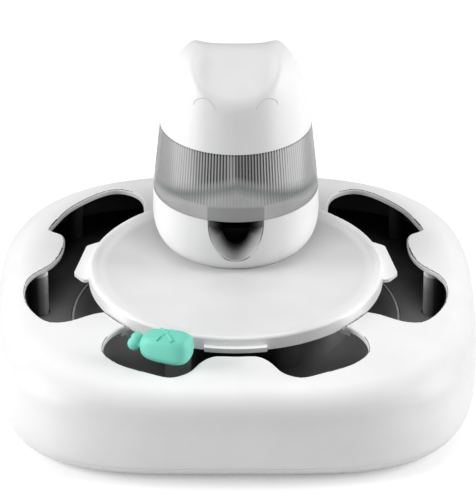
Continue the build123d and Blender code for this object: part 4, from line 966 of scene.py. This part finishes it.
def make_head():
    """White lid like a cat's head, with soft ears, a scooped brow and closed eyes."""
    columns, rows_count, wall = 360, 120, 2.4
    grid = profile_distance_grid(smooth_curve(HEAD_PROFILE, (-0.2, 1), (-1, 0), 1.2))
    points, faces = [], []
    last = (rows_count - 1) * columns
    for inset in (0.0, wall):
        rows = head_rays(columns, rows_count, grid, inset)
        start = len(points)
        points += joined(rows)
        points.append(rows[-1].mean(axis=0))
        top = len(points) - 1
        here = ring_mesh(rows, start=start)
        here += [(start + last + step, start + last + (step + 1) % columns, top) for step in range(columns)]
        faces += [face[::-1] for face in here] if inset else here
    rim = [(step, (step + 1) % columns) for step in range(columns)]
    faces += [(a, start + a, start + b, b) for a, b in rim]
    made = make_object("head_shell", points, faces, HEAD_WHITE, "lid")
    outward(made)
    sharpen(made, 50.0)
    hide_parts("head_lid")

    spigot = [
        (54.3, 175.6), (54.3, 182.2), (56.0, 182.6), (56.0, 184.4), (52.1, 184.4), (52.1, 175.2),
        (53.8, 175.2),
    ]
    rows = [level_ring(radius, round_angles(180), z, TOWER_Y) for radius, z in spigot]
    faces = ring_mesh(rows, closed_rows=True)
    collar = make_object("lid_collar", joined(rows), faces, WHITE, "lid")
    outward(collar)
    sharpen(collar)
    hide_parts("head_lid")

    line = smooth_curve(EYE_LINE, (0.0, 1), (-0.5, -1), 0.5)
    for side, label in ((1, "right"), (-1, "left")):
        x, z = (line * (side, 1)).T

        def inside_head(y):
            return head_depth(np.stack([x, y, z], axis=1), grid, 0.0) <= 0

        before, behind = (np.full(len(line), TOWER_Y - gap) for gap in (70.0, 20.0))
        y = crossing(before, behind, inside_head, 24)
        make_eye(f"eye_line_{label}", np.stack([x, y, z], axis=1))


def make_eye(name, path):
    """Thin moulded line that lies in the head's surface; its grey is painted shade."""
    sides, widest = 8, 0.52
    rows = []
    last = len(path) - 1
    for index, point in enumerate(path):
        here = Vector(point)
        along = (Vector(path[min(index + 1, last)]) - Vector(path[max(index - 1, 0)])).normalized()
        out = Vector((here.x, here.y - TOWER_Y, 0.0)).normalized()
        out = (out - along * out.dot(along)).normalized()
        across = along.cross(out)
        size = widest * min(1.0, 0.6 + 4.0 * min(index, last - index) / last)
        rows.append([
            here - out * 0.1 + out * size * 0.6 * math.sin(turn) + across * size * math.cos(turn)
            for turn in round_angles(sides)
        ])
    faces = ring_mesh(rows) + end_caps(rows)
    made = make_object(name, joined(rows), faces, EYE_LINE_SHADE, "lid")
    outward(made)


# --- lure
LURE_ANGLE, LURE_RADIUS, LURE_Z = 249.4, 142.0, 91.5
PILLOW_LONG, PILLOW_DEEP, PILLOW_HIGH = 19.25, 11.9, 11.7
PILLOW_ROUND, PILLOW_SQUARE = 0.62, 0.78


def lure_place(x, y, z):
    """A point of the lure, along it, outwards and upwards, in the toy's own place."""
    turn = math.radians(LURE_ANGLE)
    out = Vector((math.cos(turn), math.sin(turn), 0.0))
    along = Vector((-math.sin(turn), math.cos(turn), 0.0))
    up = Vector((0.0, 0.0, 1.0))
    swell, lean = 1.0 + 0.004 * x, 0.035 * x
    return out * (LURE_RADIUS + y * swell) + along * x + up * (LURE_Z + z * swell + lean)


def pillow_top(x, y):
    """Height of the pillow's top over a place."""
    span = abs(x / PILLOW_LONG) ** (2 / PILLOW_ROUND) + abs(y / PILLOW_DEEP) ** (2 / PILLOW_ROUND)
    return PILLOW_HIGH * max(0.0, 1 - span) ** (PILLOW_ROUND / 2)


def make_lure():
    """Soft pillow with a raised cross and a two lobed tail."""

    def signed(value, power):
        return math.copysign(abs(value) ** power, value)

    rows, count, steps = [], 64, 32
    for step in range(1, steps):
        lean = math.pi * (step / steps - 0.5)
        x, girth = PILLOW_LONG * signed(math.sin(lean), PILLOW_ROUND), signed(math.cos(lean), PILLOW_ROUND)
        row = []
        for angle in round_angles(count):
            y = PILLOW_DEEP * girth * signed(math.cos(angle), PILLOW_SQUARE)
            z = PILLOW_HIGH * girth * signed(math.sin(angle), PILLOW_SQUARE)
            row.append(lure_place(x, y, z))
        rows.append(row)
    points = joined(rows)
    faces = ring_mesh(rows)
    for x, row in ((-PILLOW_LONG, 0), (PILLOW_LONG, len(rows) - 1)):
        tip = len(points)
        points.append(lure_place(x, 0.0, 0.0))
        faces += [(row * count + i, row * count + (i + 1) % count, tip) for i in range(count)]
    made = make_object("lure_pillow", points, faces, TEAL, "lure")
    outward(made)
    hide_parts("lure")

    lobes = bmesh.new()
    for x, y, z, radius in ((-25.2, 0.0, -2.0, 5.0), (-22.6, 0.3, 3.4, 4.9), (-19.0, 0.0, 0.5, 4.2)):
        ball = bmesh.ops.create_icosphere(lobes, subdivisions=4, radius=radius * MM)
        bmesh.ops.translate(lobes, verts=ball["verts"], vec=lure_place(x, y, z) * MM)
    data = bpy.data.meshes.new("lure_tail")
    lobes.to_mesh(data)
    lobes.free()
    tail = link_mesh("lure_tail", data, TEAL, smooth=False)
    merge = tail.modifiers.new("merge", "REMESH")
    merge.mode = "VOXEL"
    merge.voxel_size = 0.0005
    soften = tail.modifiers.new("soften", "SMOOTH")
    soften.iterations = 6
    bpy.context.view_layer.objects.active = tail
    tail.select_set(True)
    for modifier in ("merge", "soften"):
        bpy.ops.object.modifier_apply(modifier=modifier)
    tail.data.polygons.foreach_set("use_smooth", [True] * len(tail.data.polygons))
    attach(tail, "lure")
    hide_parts("lure")

    make_cross_bar("lure_cross_a", (-6.5, -6.0), (7.5, 8.6))
    make_cross_bar("lure_cross_b", (-4.4, 9.2), (1.0, -2.2))


def make_cross_bar(name, first, last):
    """One raised bar of the cross on the pillow's top."""
    first, last = np.array(first), np.array(last)
    beside = np.array([first[1] - last[1], last[0] - first[0]]) / np.hypot(*(last - first))
    rows = []
    for share in np.linspace(0.0, 1.0, 25):
        spot = first + (last - first) * share
        row = []
        for lift, side in ((-0.6, -1.0), (0.5, -0.85), (0.7, 0.0), (0.5, 0.85), (-0.6, 1.0)):
            x, y = spot + beside * side
            row.append(lure_place(x, y, pillow_top(x, y) + lift))
        rows.append(row)
    faces = ring_mesh(rows) + end_caps(rows)
    made = make_object(name, joined(rows), faces, TEAL, "lure")
    outward(made)
    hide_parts("lure")


def make_springs():
    """The two springs under the lure's slide, built at one length, though the real ones shorten as it
    ducks.
    """
    radius, wire, coils, low, high = 1.6, 0.3, 14, 8.4, 45.7
    around = round_angles(8)
    turns = np.linspace(0, 2 * math.pi * coils, 16 * coils + 1)
    points, faces = [], []
    for x, y in ((-36.393, -113.877), (-47.626, -109.655)):
        rows = []
        for middle, turn in zip(np.linspace(low, high, len(turns)), turns):
            reach, height = radius + wire * np.cos(around), middle + wire * np.sin(around)
            rows.append(np.stack([x + reach * math.cos(turn), y + reach * math.sin(turn), height], axis=1))
        start = len(points)
        faces += ring_mesh(rows, start=start) + end_caps(rows, start)
        points += joined(rows)
    made = make_object("lift_spring_coils", points, faces, STEEL, "turntable")
    outward(made)
    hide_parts("lift_springs")
    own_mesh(made)


# --- stage and light
def make_stage():
    """White floor, which the camera sees a little brighter than it lights."""
    size = 6.0
    corners = [(-size, -size, 0), (size, -size, 0), (size, size, 0), (-size, size, 0)]
    floor = bpy.data.meshes.new("floor")
    floor.from_pydata(corners, [], [(0, 1, 2, 3)])
    made, tree, shader = new_material("floor_white")
    seen = add_node(tree, "ShaderNodeLightPath").outputs["Is Camera Ray"]
    glow = maths(tree, "MULTIPLY", seen, 0.3)
    feed(tree, shader, {"Base Color": (0.9,) * 3, "Roughness": 0.9, "Specular IOR Level": 0.2})
    feed(tree, shader, {"Emission Color": (1.0,) * 3, "Emission Strength": glow})
    link_mesh("floor", floor, made, smooth=False)


def area_light(name, place, size, power):
    """Round lamp that points at the toy's middle."""
    data = bpy.data.lights.new(name, "AREA")
    data.shape = "DISK"
    data.size = size
    data.energy = power
    lamp = bpy.data.objects.new(name, data)
    scene.collection.objects.link(lamp)
    lamp.location = place
    lamp.rotation_mode = "QUATERNION"
    lamp.rotation_quaternion = (Vector((0.0, 0.0, 0.1)) - Vector(place)).to_track_quat("-Z", "Y")


def make_light():
    """Soft lamps, and a world that the camera sees white and that lights less."""
    world = bpy.data.worlds.new("studio")
    scene.world = world
    world.use_nodes = True
    tree = world.node_tree
    seen = add_node(tree, "ShaderNodeLightPath").outputs["Is Camera Ray"]
    strength = spread(tree, seen, 0.0, 1.0, 0.30, 1.0)
    feed(tree, tree.nodes["Background"], {"Color": (1.0,) * 3, "Strength": strength})
    area_light("left", (-1.75, -0.3, 0.75), 1.2, 25.5)
    area_light("right", (1.75, -0.1, 0.75), 1.2, 21.5)
    area_light("top", (0.0, 0.2, 2.2), 1.4, 14.0)


make_camera()
dress_nodes()
make_cover()
make_hopper()
make_outlet()
make_head()
make_lure()
make_springs()
make_stage()
make_light()

scene.view_settings.view_transform = "Standard"
